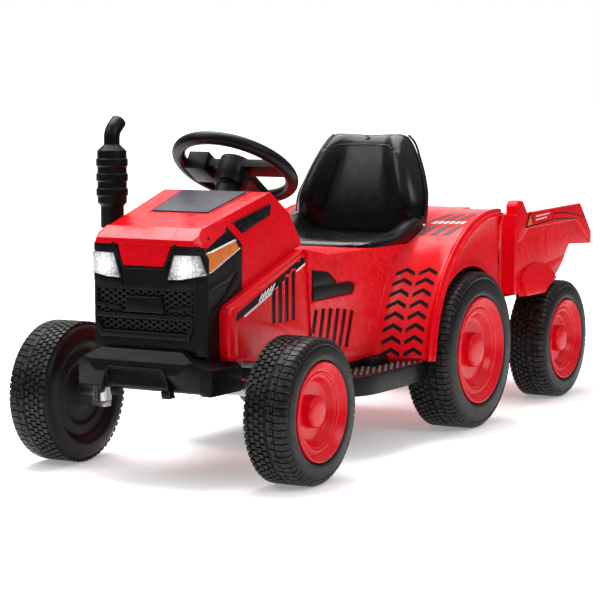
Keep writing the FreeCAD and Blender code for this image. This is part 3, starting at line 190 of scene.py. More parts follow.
FINISH = {
    "red": moulded("red_moulded", (0.74, 0.0005, 0.008), (0.90, 0.06, 0.06), 0.26, depth=0.06, shine=0.23),
    "red_wheel": moulded("red_wheel_cover", (0.66, 0.002, 0.012), (0.90, 0.08, 0.08), 0.24, depth=0.08,
                         shine=0.24),
    "black": moulded("black_moulded", (0.0045, 0.004, 0.0042), (0.04, 0.04, 0.04), 0.36, depth=0.1,
                     shine=0.17),
    "stud": moulded("black_worn_studs", (0.10, 0.085, 0.08), (0.2, 0.2, 0.2), 0.4),
    "gloss": moulded("black_blow_moulded", (0.0035, 0.003, 0.0035), (0.03, 0.03, 0.03), 0.24, depth=0.03,
                     shine=0.27),
    "tyre": moulded("tyre_moulded", (0.006, 0.006, 0.0065), (0.08, 0.08, 0.08), 0.38, grain=900, depth=0.15,
                    shine=0.2),
    "panel": moulded("grey_panel", (0.030, 0.032, 0.045), (0.15, 0.15, 0.18), 0.52, grain=700, depth=0.5),
    "steel": moulded("zinc_steel", (0.50, 0.51, 0.53), (0.75, 0.75, 0.76), 0.32, metallic=1.0),
    "red_button": moulded("button_moulded", (0.72, 0.02, 0.02), (0.95, 0.3, 0.3), 0.3),
    "battery": moulded("battery_moulded", (0.07, 0.08, 0.09), (0.2, 0.2, 0.2), 0.5),
    "dark_print": moulded("dark_print", (0.006, 0.003, 0.0035), (0.03, 0.03, 0.03), 0.45, depth=0.05,
                          shine=0.1),
    "grey_print": moulded("grey_print", (0.09, 0.03, 0.035), (0.3, 0.2, 0.2), 0.45, depth=0.05),
    "white_print": moulded("white_print", (0.82, 0.72, 0.74), (0.9, 0.9, 0.9), 0.45, depth=0.05),
    "orange_print": moulded("orange_reflector", (0.85, 0.13, 0.03), (0.95, 0.4, 0.2), 0.25, grain=500,
                            depth=0.6),
    "reflector": moulded("metallised", (0.75, 0.76, 0.78), (0.9, 0.9, 0.9), 0.15, metallic=1.0),
    "lamp": lit_lamp(),
    "amber": fluted_lens("amber_lens", (0.80, 0.20, 0.03), 0.25, 0.1, 0.04),
}


# ---------------------------------------------------------------------------------------------------
# mesh helpers


def mm(points):
    """Outline points given in millimetres."""
    return [(u * MM, v * MM) for u, v in points]


def share(value, start, end):
    """How far value is from start to end, kept within 0 and 1."""
    return min(1.0, max(0.0, (value - start) / (end - start)))


def blend(t, start, end):
    """The value t of the way from start to end."""
    return start + (end - start) * t


def mesh_of(bm, name):
    """A finished mesh in place of a bmesh."""
    data = bpy.data.meshes.new(name)
    bm.to_mesh(data)
    bm.free()
    return data


def in_scene(name, data):
    """A new object in the scene."""
    made = bpy.data.objects.new(name, data)
    bpy.context.scene.collection.objects.link(made)
    return made


def joined(bm, other):
    """Put another bmesh into bm."""
    data = mesh_of(other, "part")
    bm.from_mesh(data)
    bpy.data.meshes.remove(data)


def thickened(bm):
    """Give a sheet a second face; the points of that face, still where the first one is."""
    grown = bmesh.ops.extrude_face_region(bm, geom=bm.faces[:])
    return [item for item in grown["geom"] if isinstance(item, bmesh.types.BMVert)]


def piece(name, mesh, body, finish, stands_for=(), crease=32, at=None):
    """Name a mesh, give it a finish and a body to ride on; edges sharper than crease degrees stay sharp."""
    if isinstance(mesh, bmesh.types.BMesh):
        bmesh.ops.recalc_face_normals(mesh, faces=mesh.faces)
        mesh = mesh_of(mesh, name)
    if not mesh.materials:
        mesh.materials.append(FINISH[finish])
        mesh.shade_smooth()
        mesh.set_sharp_from_angle(angle=math.radians(crease))
    made = in_scene(name, mesh)
    if at is not None:
        made.matrix_world = at
    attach(made, body)
    if stands_for:
        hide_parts(*stands_for)
    return made


def body_of(node):
    """The body that a CAD node belongs to."""
    return frame["nodes"][node]["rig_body"]


def welded(node):
    """A node's own mesh with its flat faces whole."""
    bm = bmesh.new()
    bm.from_mesh(frame["nodes"][node].data)
    bmesh.ops.remove_doubles(bm, verts=bm.verts, dist=0.01 * MM)
    bmesh.ops.dissolve_limit(bm, angle_limit=math.radians(0.6), verts=bm.verts, edges=bm.edges)
    return bm


def soften(bm, radius, segments=3, sharper=28):
    """Round the edges that turn by more than sharper degrees."""
    turns = [e for e in bm.edges if e.is_manifold and e.calc_face_angle(0) > math.radians(sharper)]
    bmesh.ops.bevel(
        bm, geom=turns, offset=radius, offset_type="OFFSET", segments=segments, profile=0.5,
        affect="EDGES", clamp_overlap=True, miter_outer="ARC",
    )
    return bm


def cut_at(bm, point, way, near=1e-7, **more):
    """Cut everything in bm where the plane through point meets it."""
    everything = [*bm.verts, *bm.edges, *bm.faces]
    return bmesh.ops.bisect_plane(bm, geom=everything, dist=near, plane_co=point, plane_no=way, **more)


def gridded(bm, cell, axes=(0, 1, 2)):
    """Cut every face along a grid, so that a curved change of shape shows no kinks."""
    for axis in axes:
        places = [v.co[axis] for v in bm.verts]
        start, length = min(places), max(places) - min(places)
        across = Vector((0, 0, 0))
        across[axis] = 1
        steps = max(1, round(length / cell))
        width = length / steps
        for step in range(1, steps):
            cut_at(bm, across * (start + step * width), across)


def sliced(bm, point, way):
    """bm without what lies beyond the plane through point, closed again."""
    cut = cut_at(bm, point, way, 1e-6, clear_outer=True)
    edges = [e for e in cut["geom_cut"] if isinstance(e, bmesh.types.BMEdge)]
    bmesh.ops.triangle_fill(bm, edges=edges, use_beauty=True, use_dissolve=True)
    bmesh.ops.recalc_face_normals(bm, faces=bm.faces)
    return bm


def skin(node, finish, radius=1.5 * MM, segments=3, cuts=(), slices=(), warp=None, cell=18 * MM):
    """The node's shape with rounded edges; slots cut, corners sliced and its form eased by warp."""
    bm = welded(node)
    for point, way in slices:
        sliced(bm, point, way)
    if cuts:
        bm = cut_away(bm, cuts)
    if warp:
        gridded(bm, cell)
        for vert in bm.verts:
            vert.co = warp(vert.co)
    if radius:
        soften(bm, radius, segments)
    return piece(node + "_skin", bm, body_of(node), finish, [node])


def cut_away(bm, cutters):
    """bm less every cutter, each a bmesh."""
    host = in_scene("blank", mesh_of(bm, "blank"))
    tools = []
    for cutter in cutters:
        tool = in_scene("cutter", mesh_of(cutter, "cutter"))
        tools.append(tool)
        cut = host.modifiers.new("cut", "BOOLEAN")
        cut.operation = "DIFFERENCE"
        cut.solver = "EXACT"
        cut.object = tool
    bpy.context.view_layer.update()
    result = bmesh.new()
    result.from_object(host, bpy.context.evaluated_depsgraph_get())
    for thing in [host, *tools]:
        bpy.data.objects.remove(thing)
    bmesh.ops.remove_doubles(result, verts=result.verts, dist=0.01 * MM)
    return result


# The way a flat outline is looked at: which axes hold its two numbers, and the axis and sign it faces.
VIEWS = {"left": (1, 2, 0, 1), "right": (1, 2, 0, -1), "front": (0, 2, 1, -1), "top": (0, 1, 2, 1)}


def lifted(view, u, v, height=0.0):
    """The point of a view's outline, at a height along the axis it looks along."""
    first, second, along, _ = VIEWS[view]
    point = Vector((0, 0, 0))
    point[first], point[second], point[along] = u, v, height
    return point


def prism(view, outline, low, high):
    """An outline, solid from low to high along the view's axis."""
    bm = bmesh.new()
    bm.faces.new([bm.verts.new(lifted(view, u, v, low)) for u, v in outline])
    for vert in thickened(bm):
        vert.co[VIEWS[view][2]] = high
    bmesh.ops.recalc_face_normals(bm, faces=bm.faces)
    return bm


def draped(name, outlines, body, view, finish, height, proud=0.4 * MM, depth=0.8 * MM, cell=7 * MM, edge=0.0):
    """Thin pieces with these outlines; height gives where the surface under them is, along the view."""
    first, second, along, facing = VIEWS[view]
    bm = bmesh.new()
    for outline in outlines:
        bm.faces.new([bm.verts.new(lifted(view, u, v)) for u, v in outline])
    gridded(bm, cell, (first, second))
    for vert in bm.verts:
        vert.co[along] = height(vert.co[first], vert.co[second]) + facing * proud
    for vert in thickened(bm):
        vert.co[along] -= facing * (proud + depth)
    if edge:
        soften(bm, edge, 2, 50)
    return piece(name, bm, body, finish)


def surface_of(target, view):
    """The height of a piece's outside, along the view's axis, at any place seen in that view."""
    along, facing = VIEWS[view][2:]
    bpy.context.view_layer.update()
    tree = BVHTree.FromObject(target, bpy.context.evaluated_depsgraph_get())
    towards = Vector((0, 0, 0))
    towards[along] = -facing

    def height(u, v):
        hit = tree.ray_cast(lifted(view, u, v, 3 * facing), towards)[0]
        if hit is None:
            hit = tree.find_nearest(lifted(view, u, v, middle_of(target)[along]))[0]
        return hit[along]

    return height


def middle_of(thing):
    """The middle of an object's box."""
    corners = [Vector(corner) for corner in thing.bound_box]
    return sum(corners, Vector()) / len(corners)


def laid(name, outlines, target, view, finish, **shape):
    """Thin pieces with these outlines that lie on the target's surface, as seen in that view."""
    return draped(name, outlines, target["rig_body"], view, finish, surface_of(target, view), **shape)


def stroke(points, width):
    """The outline of a line of this width through the points."""
    points = [Vector(p) for p in points]
    left, right = [], []
    for k, here in enumerate(points):
        before = points[max(k - 1, 0)]
        after = points[min(k + 1, len(points) - 1)]
        ways = [w.normalized() for w in (here - before, after - here) if w.length > 1e-9]
        way = sum(ways, Vector((0, 0))).normalized()
        out = Vector((-way.y, way.x)) * width / 2 / max(0.3, way.dot(ways[0]))
        left.append(tuple(here + out))
        right.append(tuple(here - out))
    return left + right[::-1]


def turned(profile, steps=96):
    """A closed profile of (x, radius) points, turned about the X axis."""
    bm = bmesh.new()
    rings = []
    for x, radius in profile:
        if radius < 1e-6:
            rings.append([bm.verts.new((x, 0, 0))])
        else:
            turns = [math.tau * k / steps for k in range(steps)]
            rings.append([bm.verts.new((x, radius * math.cos(t), radius * math.sin(t))) for t in turns])
    for one, two in zip(rings, rings[1:] + rings[:1]):
        if len(one) == 1 and len(two) == 1:
            continue
        for k in range(steps):
            after = (k + 1) % steps
            corners = [one[k % len(one)], one[after % len(one)], two[after % len(two)], two[k % len(two)]]
            bm.faces.new(list(dict.fromkeys(corners)))
    return bm


def rounded_profile(points, radius, steps=4):
    """A line of points whose inner corners are replaced by short arcs."""
    made = [Vector(points[0])]
    for before, here, after in zip(points, points[1:], points[2:]):
        here, before, after = Vector(here), Vector(before), Vector(after)
        back = (before - here).length
        on = (after - here).length
        reach = min(radius, back * 0.45, on * 0.45)
        start = here + (before - here).normalized() * reach
        end = here + (after - here).normalized() * reach
        for k in range(steps + 1):
            t = k / steps
            made.append(start * (1 - t) ** 2 + here * 2 * t * (1 - t) + end * t ** 2)
    made.append(Vector(points[-1]))
    return [tuple(p) for p in made]


def walled(bm, one, two):
    """Faces between two closed loops of vertices with the same count."""
    for k in range(len(one)):
        after = (k + 1) % len(one)
        bm.faces.new((one[k], one[after], two[after], two[k]))


def lofted(loops):
    """A solid over closed loops of points, each loop with the same count."""
    bm = bmesh.new()
    rings = [[bm.verts.new(point) for point in loop] for loop in loops]
    for one, two in zip(rings, rings[1:]):
        walled(bm, one, two)
    bm.faces.new(rings[0])
    bm.faces.new(rings[-1])
    return bm


def subdivided(made):
    """Smooth a piece with two levels of subdivision."""
    smooth = made.modifiers.new("subdivision", "SUBSURF")
    smooth.levels = smooth.render_levels = 2


def add_block(bm, corners, thick, chamfer):
    """A block whose foot is four corners and whose top, thick along each corner's own way, is drawn in."""
    foot = [bm.verts.new(point) for point, _ in corners]
    centre = sum((point for point, _ in corners), Vector()) / len(corners)
    top = []
    for point, way in corners:
        inward = centre - point
        inward -= way * inward.dot(way)
        top.append(bm.verts.new(point + way * thick + inward.normalized() * chamfer))
    bm.faces.new(top)
    walled(bm, foot, top)


# ---------------------------------------------------------------------------------------------------
# wheels

COVER_SHARE = 0.68  # of the wheel's radius


def tyre_mesh(radius, width):
    """Blow-moulded wheel: smooth dark wall, two split rings, small blocks inside and large lugs outside."""
    half = width / 2
    cover = radius * COVER_SHARE
    floor = radius - 3.2 * MM
    wall = [(half + x * MM, r) for x, r in (
        (-26, 0.008), (-26, cover), (-5, cover), (-1.0, cover + 3 * MM), (0, cover + 9 * MM),
        (-1.0, radius * 0.88), (-4.5, radius - 8 * MM), (-12, floor),
    )]
    wall += [(-half + x * MM, r) for x, r in (
        (9, floor), (2, radius - 11 * MM), (0, radius - 24 * MM), (0, cover + 4 * MM), (12, cover - 6 * MM),
        (10, cover * 0.7), (13, cover * 0.62), (12, 0.03), (8, 0.026), (8, 0.008),
    )]
    bm = turned(rounded_profile(wall, 4 * MM, 3), 120)
    root = floor - 1 * MM
    edge = -half + 7 * MM
    across = half - 12 * MM - edge

    def corner(angle, x, r):
        way = Vector((0, math.cos(angle), math.sin(angle)))
        return Vector((x, 0, 0)) + way * r, way

    def row(start, end, count, phase, filled, skew=0.0):
        """Blocks from start to end, in shares of the tread's width."""
        for k in range(count):
            left = math.tau * (k + phase) / count
            right = left + math.tau / count * filled
            lean = math.tau / count * skew
            low, high = edge + across * start, edge + across * end
            places = ((left, low), (right, low), (right + lean, high), (left + lean, high))
            add_block(bm, [corner(angle, x, root) for angle, x in places], radius - root, 0.6 * MM)

    lugs = round(radius * 1000 * 0.27)
    for k, (start, end) in enumerate(((0.00, 0.13), (0.15, 0.28), (0.30, 0.43), (0.45, 0.57))):
        row(start, end, lugs * 2, 0.5 * (k % 2), 0.72)
    row(0.65, 0.74, lugs, 0.0, 0.93, skew=0.10)
    row(0.745, 0.815, lugs * 2, 0.1, 0.84)
    for start, end in ((0.588, 0.602), (0.622, 0.636)):
        low, high, crown = edge + across * start, edge + across * end, radius - 0.4 * MM
        joined(bm, turned([(low, root), (low, crown), (high, crown), (high, root)], 120))
    shoulder = [(edge + across * 0.83, root), (edge + across * 0.838, radius - 0.2 * MM)]
    shoulder += [(half - x * MM, radius - drop * MM) for x, drop in (
        (12, 0.3), (7.5, 1.8), (4.0, 5.2), (1.8, 10.5), (2.6, 13), (12, 11),
    )]
    notches = lugs * 2
    for k in range(notches):
        left = math.tau * (k + 0.30) / notches
        right = left + math.tau / notches * 0.80
        ends = [[bm.verts.new(corner(angle, x, r)[0]) for x, r in shoulder] for angle in (left, right)]
        for end in ends:
            bm.faces.new(end)
        walled(bm, *ends)
    return bm


def cover_mesh(radius, width):
    """Red cover: rolled lip, sloping dish, two ridges and the deep cup with its floor."""
    half = width / 2
    rim = radius * COVER_SHARE - 0.4 * MM
    face = [(half + x * MM, rim * r) for x, r in (
        (-8, 1), (-0.5, 1), (1.0, 0.968), (-1.5, 0.935), (-5.5, 0.88), (-8.5, 0.835), (-8.8, 0.80),
        (-7.0, 0.785), (-7.2, 0.75), (-10.2, 0.735), (-10.4, 0.695), (-14, 0.665), (-21.5, 0.60),
        (-22.5, 0.55), (-22.5, 0.29),
    )]
    back = [(x - 2.2 * MM, r - 0.6 * MM) for x, r in reversed(face)]
    back[-1] = (half - 8 * MM, rim - 2.4 * MM)
    return turned(rounded_profile(face, 3 * MM, 4) + back, 144)


def boss_mesh(radius, width):
    """The cylindrical cap in the middle of the cover, with a slightly domed end."""
    half = width / 2
    size = radius * COVER_SHARE * 0.32
    profile = ((24, 1.04), (11, 1), (8, 0.90), (6.6, 0.55), (6.2, 0))
    face = [(half - x * MM, size * r) for x, r in profile]
    return turned(rounded_profile(face, 4 * MM, 4) + [(half - 24 * MM, 0)], 72)


def wheels():
    """Tyre, cover and cap of each wheel; the two wheels of an axle share their meshes."""
    for axle in AXES:
        shared = {}
        for side, sign in SIDES:
            label = axle + "_" + side
            low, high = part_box("tyre_" + label)
            radius = (high.y - low.y) / 2
            width = high.x - low.x
            if not shared:
                for kind, build in (("tyre", tyre_mesh), ("wheel_cover", cover_mesh), ("hub_cap", boss_mesh)):
                    bm = build(radius, width)
                    bmesh.ops.recalc_face_normals(bm, faces=bm.faces)
                    shared[kind] = mesh_of(bm, kind + "_" + axle)
            turn = Matrix.Rotation(0 if sign > 0 else math.pi, 4, "Z")
            at = Matrix.Translation((low + high) / 2) @ turn
            for kind, finish in (("tyre", "tyre"), ("wheel_cover", "red_wheel"), ("hub_cap", "red_wheel")):
                name = "%s_%s_skin" % (kind, label)
                piece(name, shared[kind], label + "_wheel", finish, ["%s_%s" % (kind, label)], at=at)


# ---------------------------------------------------------------------------------------------------
# shape of the hood, shared by everything that lies on it

HOOD_LOW, HOOD_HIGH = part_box("hood")
PANEL_LOW, PANEL_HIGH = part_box("hood_top_panel")
MASK_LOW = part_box("grille_mask")[0]
SHELL_LOW, SHELL_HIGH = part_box("front_shell")
TOP_REAR_Y = PANEL_HIGH.y + 6 * MM
TOP_FRONT_Y = HOOD_LOW.y + 32 * MM
TOP_FRONT_Z = HOOD_HIGH.z - 50 * MM
BELT_LOW_Z = SHELL_LOW.z + 84 * MM
BELT_REAR_Y = SHELL_HIGH.y - 15 * MM


def hood_top(y):
    """Height of the hood's top along the tractor."""
    return blend(share(y, TOP_FRONT_Y, TOP_REAR_Y), TOP_FRONT_Z, HOOD_HIGH.z)


def hood_form(point):
    """The hood and mask draw in towards their top edges, more so at the front; the nose narrows downwards."""
    x, y, z = point
    top = hood_top(y)
    forward = share(y, TOP_REAR_Y, TOP_FRONT_Y)
    start = top - blend(forward, 70, 42) * MM
    taper = blend(forward, 0.035, 0.165) * share(z, start, top) ** 1.3
    x *= 1 - taper
    if y < TOP_FRONT_Y - 1 * MM and abs(x) < 47 * MM and z > 338 * MM:
        x *= blend(share(z, 342 * MM, 384 * MM), 0.80, 1.28)
    return Vector((x, y, z))


def mask_form(point):
    """The mask follows the hood's shape, except in its flat middle."""
    return hood_form(point) if abs(point[0]) > 60 * MM else Vector(point)


# ---------------------------------------------------------------------------------------------------
# front: hood, mask, lamps, grille and bumper


def both_sides(outline):
    """An outline and its mirror image across the middle of the tractor."""
    return [outline, [(-x, z) for x, z in reversed(outline)]]


def hexagon(x, z, size):
    """The corners of a hexagon round a place."""
    return [(x + size * math.cos(math.tau * k / 6), z + size * math.sin(math.tau * k / 6)) for k in range(6)]


def honeycomb(outline_low, outline_high, y, cell, bar, depth):
    """A mesh of hexagons that fills a box in the front view, its walls running back by depth."""
    bm = bmesh.new()
    pitch = cell * math.sqrt(3)
    low_x, low_z = outline_low
    high_x, high_z = outline_high
    rows = int((high_z - low_z) / pitch) + 2
    columns = int((high_x - low_x) / (cell * 1.5)) + 2
    section = ((cell, 0), (cell - bar, bar * 0.4), (cell - bar, depth), (cell, depth))
    for column in range(columns):
        for line in range(rows):
            x = low_x + column * cell * 1.5
            z = low_z + (line + 0.5 * (column % 2)) * pitch
            rings = [[bm.verts.new((px, y + back, pz)) for px, pz in hexagon(x, z, size)]
                     for size, back in section]
            for one, two in zip(rings, rings[1:] + rings[:1]):
                walled(bm, one, two)
    return bm


def clipped(bm, planes):
    """bm without what lies beyond any of the planes; the cut stays open."""
    for point, way in planes:
        cut_at(bm, point, way, clear_outer=True)
    return bm


def moulding(name, outline, low, high, view="front", finish="black", edge=1.2 * MM, body="tractor",
             form=None, stands_for=(), slices=(), steps=3):
    """A solid strip or plate with rounded edges; form changes its shape, slices take its corners off."""
    bm = prism(view, outline, low, high)
    for point, way in slices:
        sliced(bm, point, way)
    if form:
        gridded(bm, 10 * MM)
        for vert in bm.verts:
            vert.co = form(vert.co)
    soften(bm, edge, steps)
    return piece(name, bm, body, finish, stands_for)


def pair(name, outline, inside, outside, finish="black", edge=1.2 * MM, stands_for=None, **shape):
    """The same plate on both sides, its outline seen from the side and inside..outside its reach along X.

    name has a place for the side's name; the left plate stands for the node that holds both.
    """
    for side, sign in SIDES:
        made = moulding(name % side, outline, sign * inside, sign * outside, "left", finish, edge, **shape)
        if stands_for and sign > 0:
            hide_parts(stands_for)


def on_mask(name, outline, proud, depth, edge, **shape):
    """A plate on the mask's front, proud of it and reaching depth behind it, in millimetres."""
    moulding(name, outline, MASK_LOW.y - proud * MM, MASK_LOW.y + depth * MM, edge=edge * MM, **shape)


def hood_parts():
    """Hood with its front lip, the framed dark panel on top and the louvred vents."""
    skin("hood", "red", 3.2 * MM, 4, warp=hood_form, cell=20 * MM)
    front = MASK_LOW.y
    lip = [(front - 3 * MM, 375 * MM), (front + 20 * MM, 371 * MM), (-592 * MM, 394 * MM),
           (-586 * MM, 404 * MM), (TOP_FRONT_Y, 401.5 * MM), (front - 2 * MM, 384 * MM)]
    corners = [(Vector((sign * 97 * MM, front - 4 * MM, 0)), Vector((sign * 16, -13, 0)))
               for _, sign in SIDES]
    moulding("hood_lip", lip, -107.4 * MM, 107.4 * MM, "left", "red", 5 * MM, form=hood_form, slices=corners,
             steps=4)
    skin("hood_top_panel", "panel", 0.9 * MM, 3)
    skin("hood_vents", "black", 0.6 * MM, 2, warp=hood_form)
    # raised frame round the dark top panel
    front_half, rear_half = 57 * MM, 66 * MM
    front, rear = PANEL_LOW.y - 4 * MM, PANEL_HIGH.y + 4 * MM
    for side, sign in SIDES:
        line = [(sign * front_half, front), (sign * rear_half, rear)]
        draped("hood_crease_" + side, [stroke(line, 2.2 * MM)], "tractor", "top", "red",
               lambda x, y: hood_top(y), proud=1.3 * MM, depth=2 * MM, edge=0.6 * MM)
    # louvres in the vents
    low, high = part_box("hood_vents")
    for k in range(4):
        y = blend((k + 0.7) / 4.4, low.y, high.y) / MM
        z = blend((k + 0.7) / 4.4, low.z + 9 * MM, high.z - 9 * MM) / MM
        slat = mm([(y - 8, z - 5), (y + 9, z + 0.5), (y + 9, z + 3.5), (y - 8, z - 2)])
        pair("vent_louvre_%s_" + str(k), slat, 103 * MM, 109.6 * MM, edge=0.6 * MM, form=hood_form)


def mask_parts():
    """Mask with the bars, facets and ridges that stand out from it."""
    skin("grille_mask", "black", 2.2 * MM, 3, warp=mask_form, cell=22 * MM)
    brow = [(55, 376), (99, 375), (103, 362), (60, 361), (52, 350), (46, 352)]
    cheek = [(104, 329), (78, 320), (44, 317), (40, 311), (60, 308), (92, 308), (104, 316)]
    for k in range(2):
        on_mask("brow_%d" % k, both_sides(mm(brow))[k], 2.5, 10, 1.4, form=corner_form)
        on_mask("cheek_bar_%d" % k, both_sides(mm(cheek))[k], 2.5, 6, 1.2, form=corner_form)
    nose = [(-60, 377), (-55, 372), (-37, 338), (37, 338), (55, 372), (60, 377)]
    on_mask("nose_frame", stroke(mm(nose), 4 * MM), 4.5, 3, 1.0)
    on_mask("mask_foot", mm([(-106, 182), (106, 182), (106, 212), (-106, 212)]), -17, 60, 3)
    # creases on the cheeks that run down from the corner of the mask
    facet = [(-645, 317), (-610, 322), (-570, 338), (-590, 318), (-650, 305)]
    pair("cheek_facet_%s", mm(facet), 102 * MM, 109 * MM, edge=1.8 * MM)
    ridge = [(-566, 331), (-604, 297), (-652, 263), (-652, 256), (-600, 289), (-560, 321)]
    pair("cheek_ridge_%s", mm(ridge), 102 * MM, 109.6 * MM, edge=1.4 * MM)
    grille_parts()
    lamp_parts()


def corner_form(point):
    """Sweep what reaches past the front's flat middle back round the corner."""
    x, y, z = point
    return Vector((x, y + max(0.0, abs(x) - 95 * MM) * 1.35, z))


def grille_parts():
    """Honeycomb behind a plate, two bars and two blades."""
    low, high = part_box("front_grille")
    skin("front_grille", "black", 0.4 * MM, 2)
    waist = low.z + 26 * MM
    half = high.x
    bm = honeycomb((low.x, low.z), (half, high.z), MASK_LOW.y + 1.5 * MM, 5.4 * MM, 2.5 * MM, 6 * MM)
    sides = ((half, 0, 0, 1, 0), (low.x, 0, 0, -1, 0), (0, high.z, 0, 0, 1), (0, low.z, 0, 0, -1),
             (half, waist, 0, 2, -1), (low.x, waist, 0, -2, -1))
    clipped(bm, [(Vector((x, y, z)), Vector((way_x, y, way_z))) for x, z, y, way_x, way_z in sides])
    piece("grille_mesh", bm, "tractor", "black")
    on_mask("grille_plate", mm([(-30, 294), (30, 294), (38, 268), (-38, 268)]), 3, 5, 2)
    top, foot = waist / MM, low.z / MM
    half /= MM
    bar = [(-half, top + 3), (half, top + 3), (half - 2, top - 4), (-half + 2, top - 4)]
    on_mask("grille_bar", mm(bar), 2.5, 5, 1.5)
    lip = [(-half - 2, top - 7), (-77, foot + 2), (77, foot + 2), (half + 2, top - 7), (83, foot - 9),
           (-83, foot - 9)]
    on_mask("grille_lip", mm(lip), 4.5, 5, 1.5)
    for k, blade in enumerate(both_sides(mm([(44, 276), (half, 281), (half, 276), (45, 271)]))):
        on_mask("grille_blade_%d" % k, blade, 1.5, 4, 1)


def lamp_parts():
    """Headlamps that wrap round the mask's corners, and the edged turn signals behind them."""
    skin("headlamp_reflectors", "reflector", 0.3 * MM, 2)
    centre = Vector((76 * MM, MASK_LOW.y, 342 * MM))
    shape = [(46, 322), (57, 360), (99, 361), (106, 330), (70, 323)]
    for side, sign in SIDES:
        at = Matrix.Translation((sign * centre.x, centre.y, centre.z))
        outline = [(sign * (x * MM - centre.x), z * MM - centre.z) for x, z in shape]
        bm = prism("front", outline, -3.5 * MM, 12 * MM)
        gridded(bm, 5 * MM)
        for vert in bm.verts:
            vert.co.y += max(0.0, abs(vert.co.x + sign * centre.x) - 96 * MM) * 1.35
        soften(bm, 2.2 * MM, 3)
        made = piece("headlamp_" + side, bm, "tractor", "lamp", at=at)
        if sign > 0:
            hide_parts("headlamp_lenses")
        edge = mm([(sign * 44.5, 321), (sign * 56.5, 361.5)])
        on_mask("lamp_frame_" + side, stroke(edge, 2.2 * MM), 3.5, 3, 0.6, finish="panel")
    signal = mm([(-656, 332.5), (-656, 362), (-577, 378.5), (-567, 367)])
    pair("turn_signal_%s", signal, 104 * MM, 109.6 * MM, "amber", 0.9 * MM, "turn_signals",
         form=corner_form_side)
    for k, line in enumerate(([(-655, 331.5), (-564, 366.5)], [(-655, 363.5), (-575, 380)])):
        pair("signal_edge_%s_" + str(k), stroke(mm(line), 1.5 * MM), 105 * MM, 109.9 * MM, "white_print",
             0.4 * MM, form=corner_form_side)


def corner_form_side(point):
    """Draw the front end of a piece on the mask's side in, round the corner."""
    x, y, z = point
    inward = max(0.0, -648 * MM - y) * 0.7
    return Vector((x - math.copysign(inward, x), y, z))


def bumper_parts():
    """Bumper with chamfered top corners, a lipped recess and two small tabs below."""
    slices = [(Vector((sign * 76 * MM, 0, 211 * MM)), Vector((sign * 21, 0, 39))) for _, sign in SIDES]
    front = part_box("front_bumper")[0].y
    recess = mm([(-48, 180), (48, 180), (53, 176), (63, 140), (-63, 140), (-53, 176)])
    cutter = prism("front", recess, front - 5 * MM, front + 13 * MM)
    for vert in cutter.verts:
        if vert.co.y > front + 10 * MM and vert.co.z < 150 * MM:
            vert.co.y -= 7 * MM
    skin("front_bumper", "black", 2.4 * MM, 4, slices=slices, cuts=[cutter])
    ring = [(-67, 140), (-63, 151), (-56, 178), (-50, 183.5), (50, 183.5), (56, 178), (63, 151), (67, 140)]
    moulding("bumper_lip", stroke(mm(ring), 2.6 * MM), front - 1.2 * MM, front + 12 * MM, edge=0.8 * MM)
    for k, x in enumerate((-50, 46)):
        tab = mm([(x - 9, 147), (x + 9, 147), (x + 7, 136), (x - 7, 136)])
        moulding("bumper_tab_%d" % k, tab, front + 16 * MM, front + 26 * MM, edge=1 * MM)


# ---------------------------------------------------------------------------------------------------
# sides: lower shell with its stripe and slots, main body, fenders


def shell_parts():
    """Lower shell with its sloping belt, four slots, a rounded nose and the printed stripe."""
    low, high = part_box("front_shell")
    foot, start = low.z / MM + 46, low.y / MM + 123
    slots = []
    for k in range(4):
        y, top = start + 21 * k, foot + 52 + 9 * k
        slots.append(mm([(y, foot), (y + 1, top), (y + 13, top + 4), (y + 12, foot)]))
    cuts = []
    slices = []
    rise = (high.z - BELT_LOW_Z) / (BELT_REAR_Y - low.y)
    for _, sign in SIDES:
        for outline in slots:
            cutter = prism("left", outline, sign * (high.x - 8 * MM), sign * (high.x + 2 * MM))
            cuts.append(soften(cutter, 1.6 * MM, 2, 60))
        slices.append((Vector((sign * (high.x - 9 * MM), low.y, BELT_LOW_Z)), Vector((sign, -rise, 1))))
    shell = skin("front_shell", "red", 3.0 * MM, 4, cuts=cuts, slices=slices)
    nose = [(low.y + y * MM, z) for y, z in (
        (-3, low.z + 2 * MM), (-5, BELT_LOW_Z - 10 * MM), (2, BELT_LOW_Z - 2 * MM),
        (22, BELT_LOW_Z + 4 * MM), (22, low.z),
    )]
    pair("shell_nose_%s", nose, 104 * MM, high.x + 0.4 * MM, "red", 6 * MM, steps=5)
    backing = mm([(start - 4, foot - 4), (start - 3, foot + 56), (start + 80, foot + 88),
                  (start + 79, foot - 4)])
    pair("slot_backing_%s", backing, high.x - 7 * MM, high.x - 1.5 * MM, edge=0.4 * MM)
    wedge = [(-607, 253), (-603, 266), (-386, 346), (-382, 334)]
    line = mm([(-580, 260), (-382, 332)])
    for side, _ in SIDES:
        laid("stripe_" + side, [mm(wedge)], shell, side, "dark_print")
        laid("stripe_edge_" + side, [stroke(line, 3.2 * MM)], shell, side, "white_print", proud=0.7 * MM)
        ticks = []
        for k in range(5):
            y, z = -536 + 9.5 * k, 279 + 3.3 * k
            ticks.append(stroke(mm([(y, z), (y + 12, z + 13)]), 3.2 * MM))
        laid("stripe_ticks_" + side, ticks, shell, side, "white_print", proud=0.8 * MM)


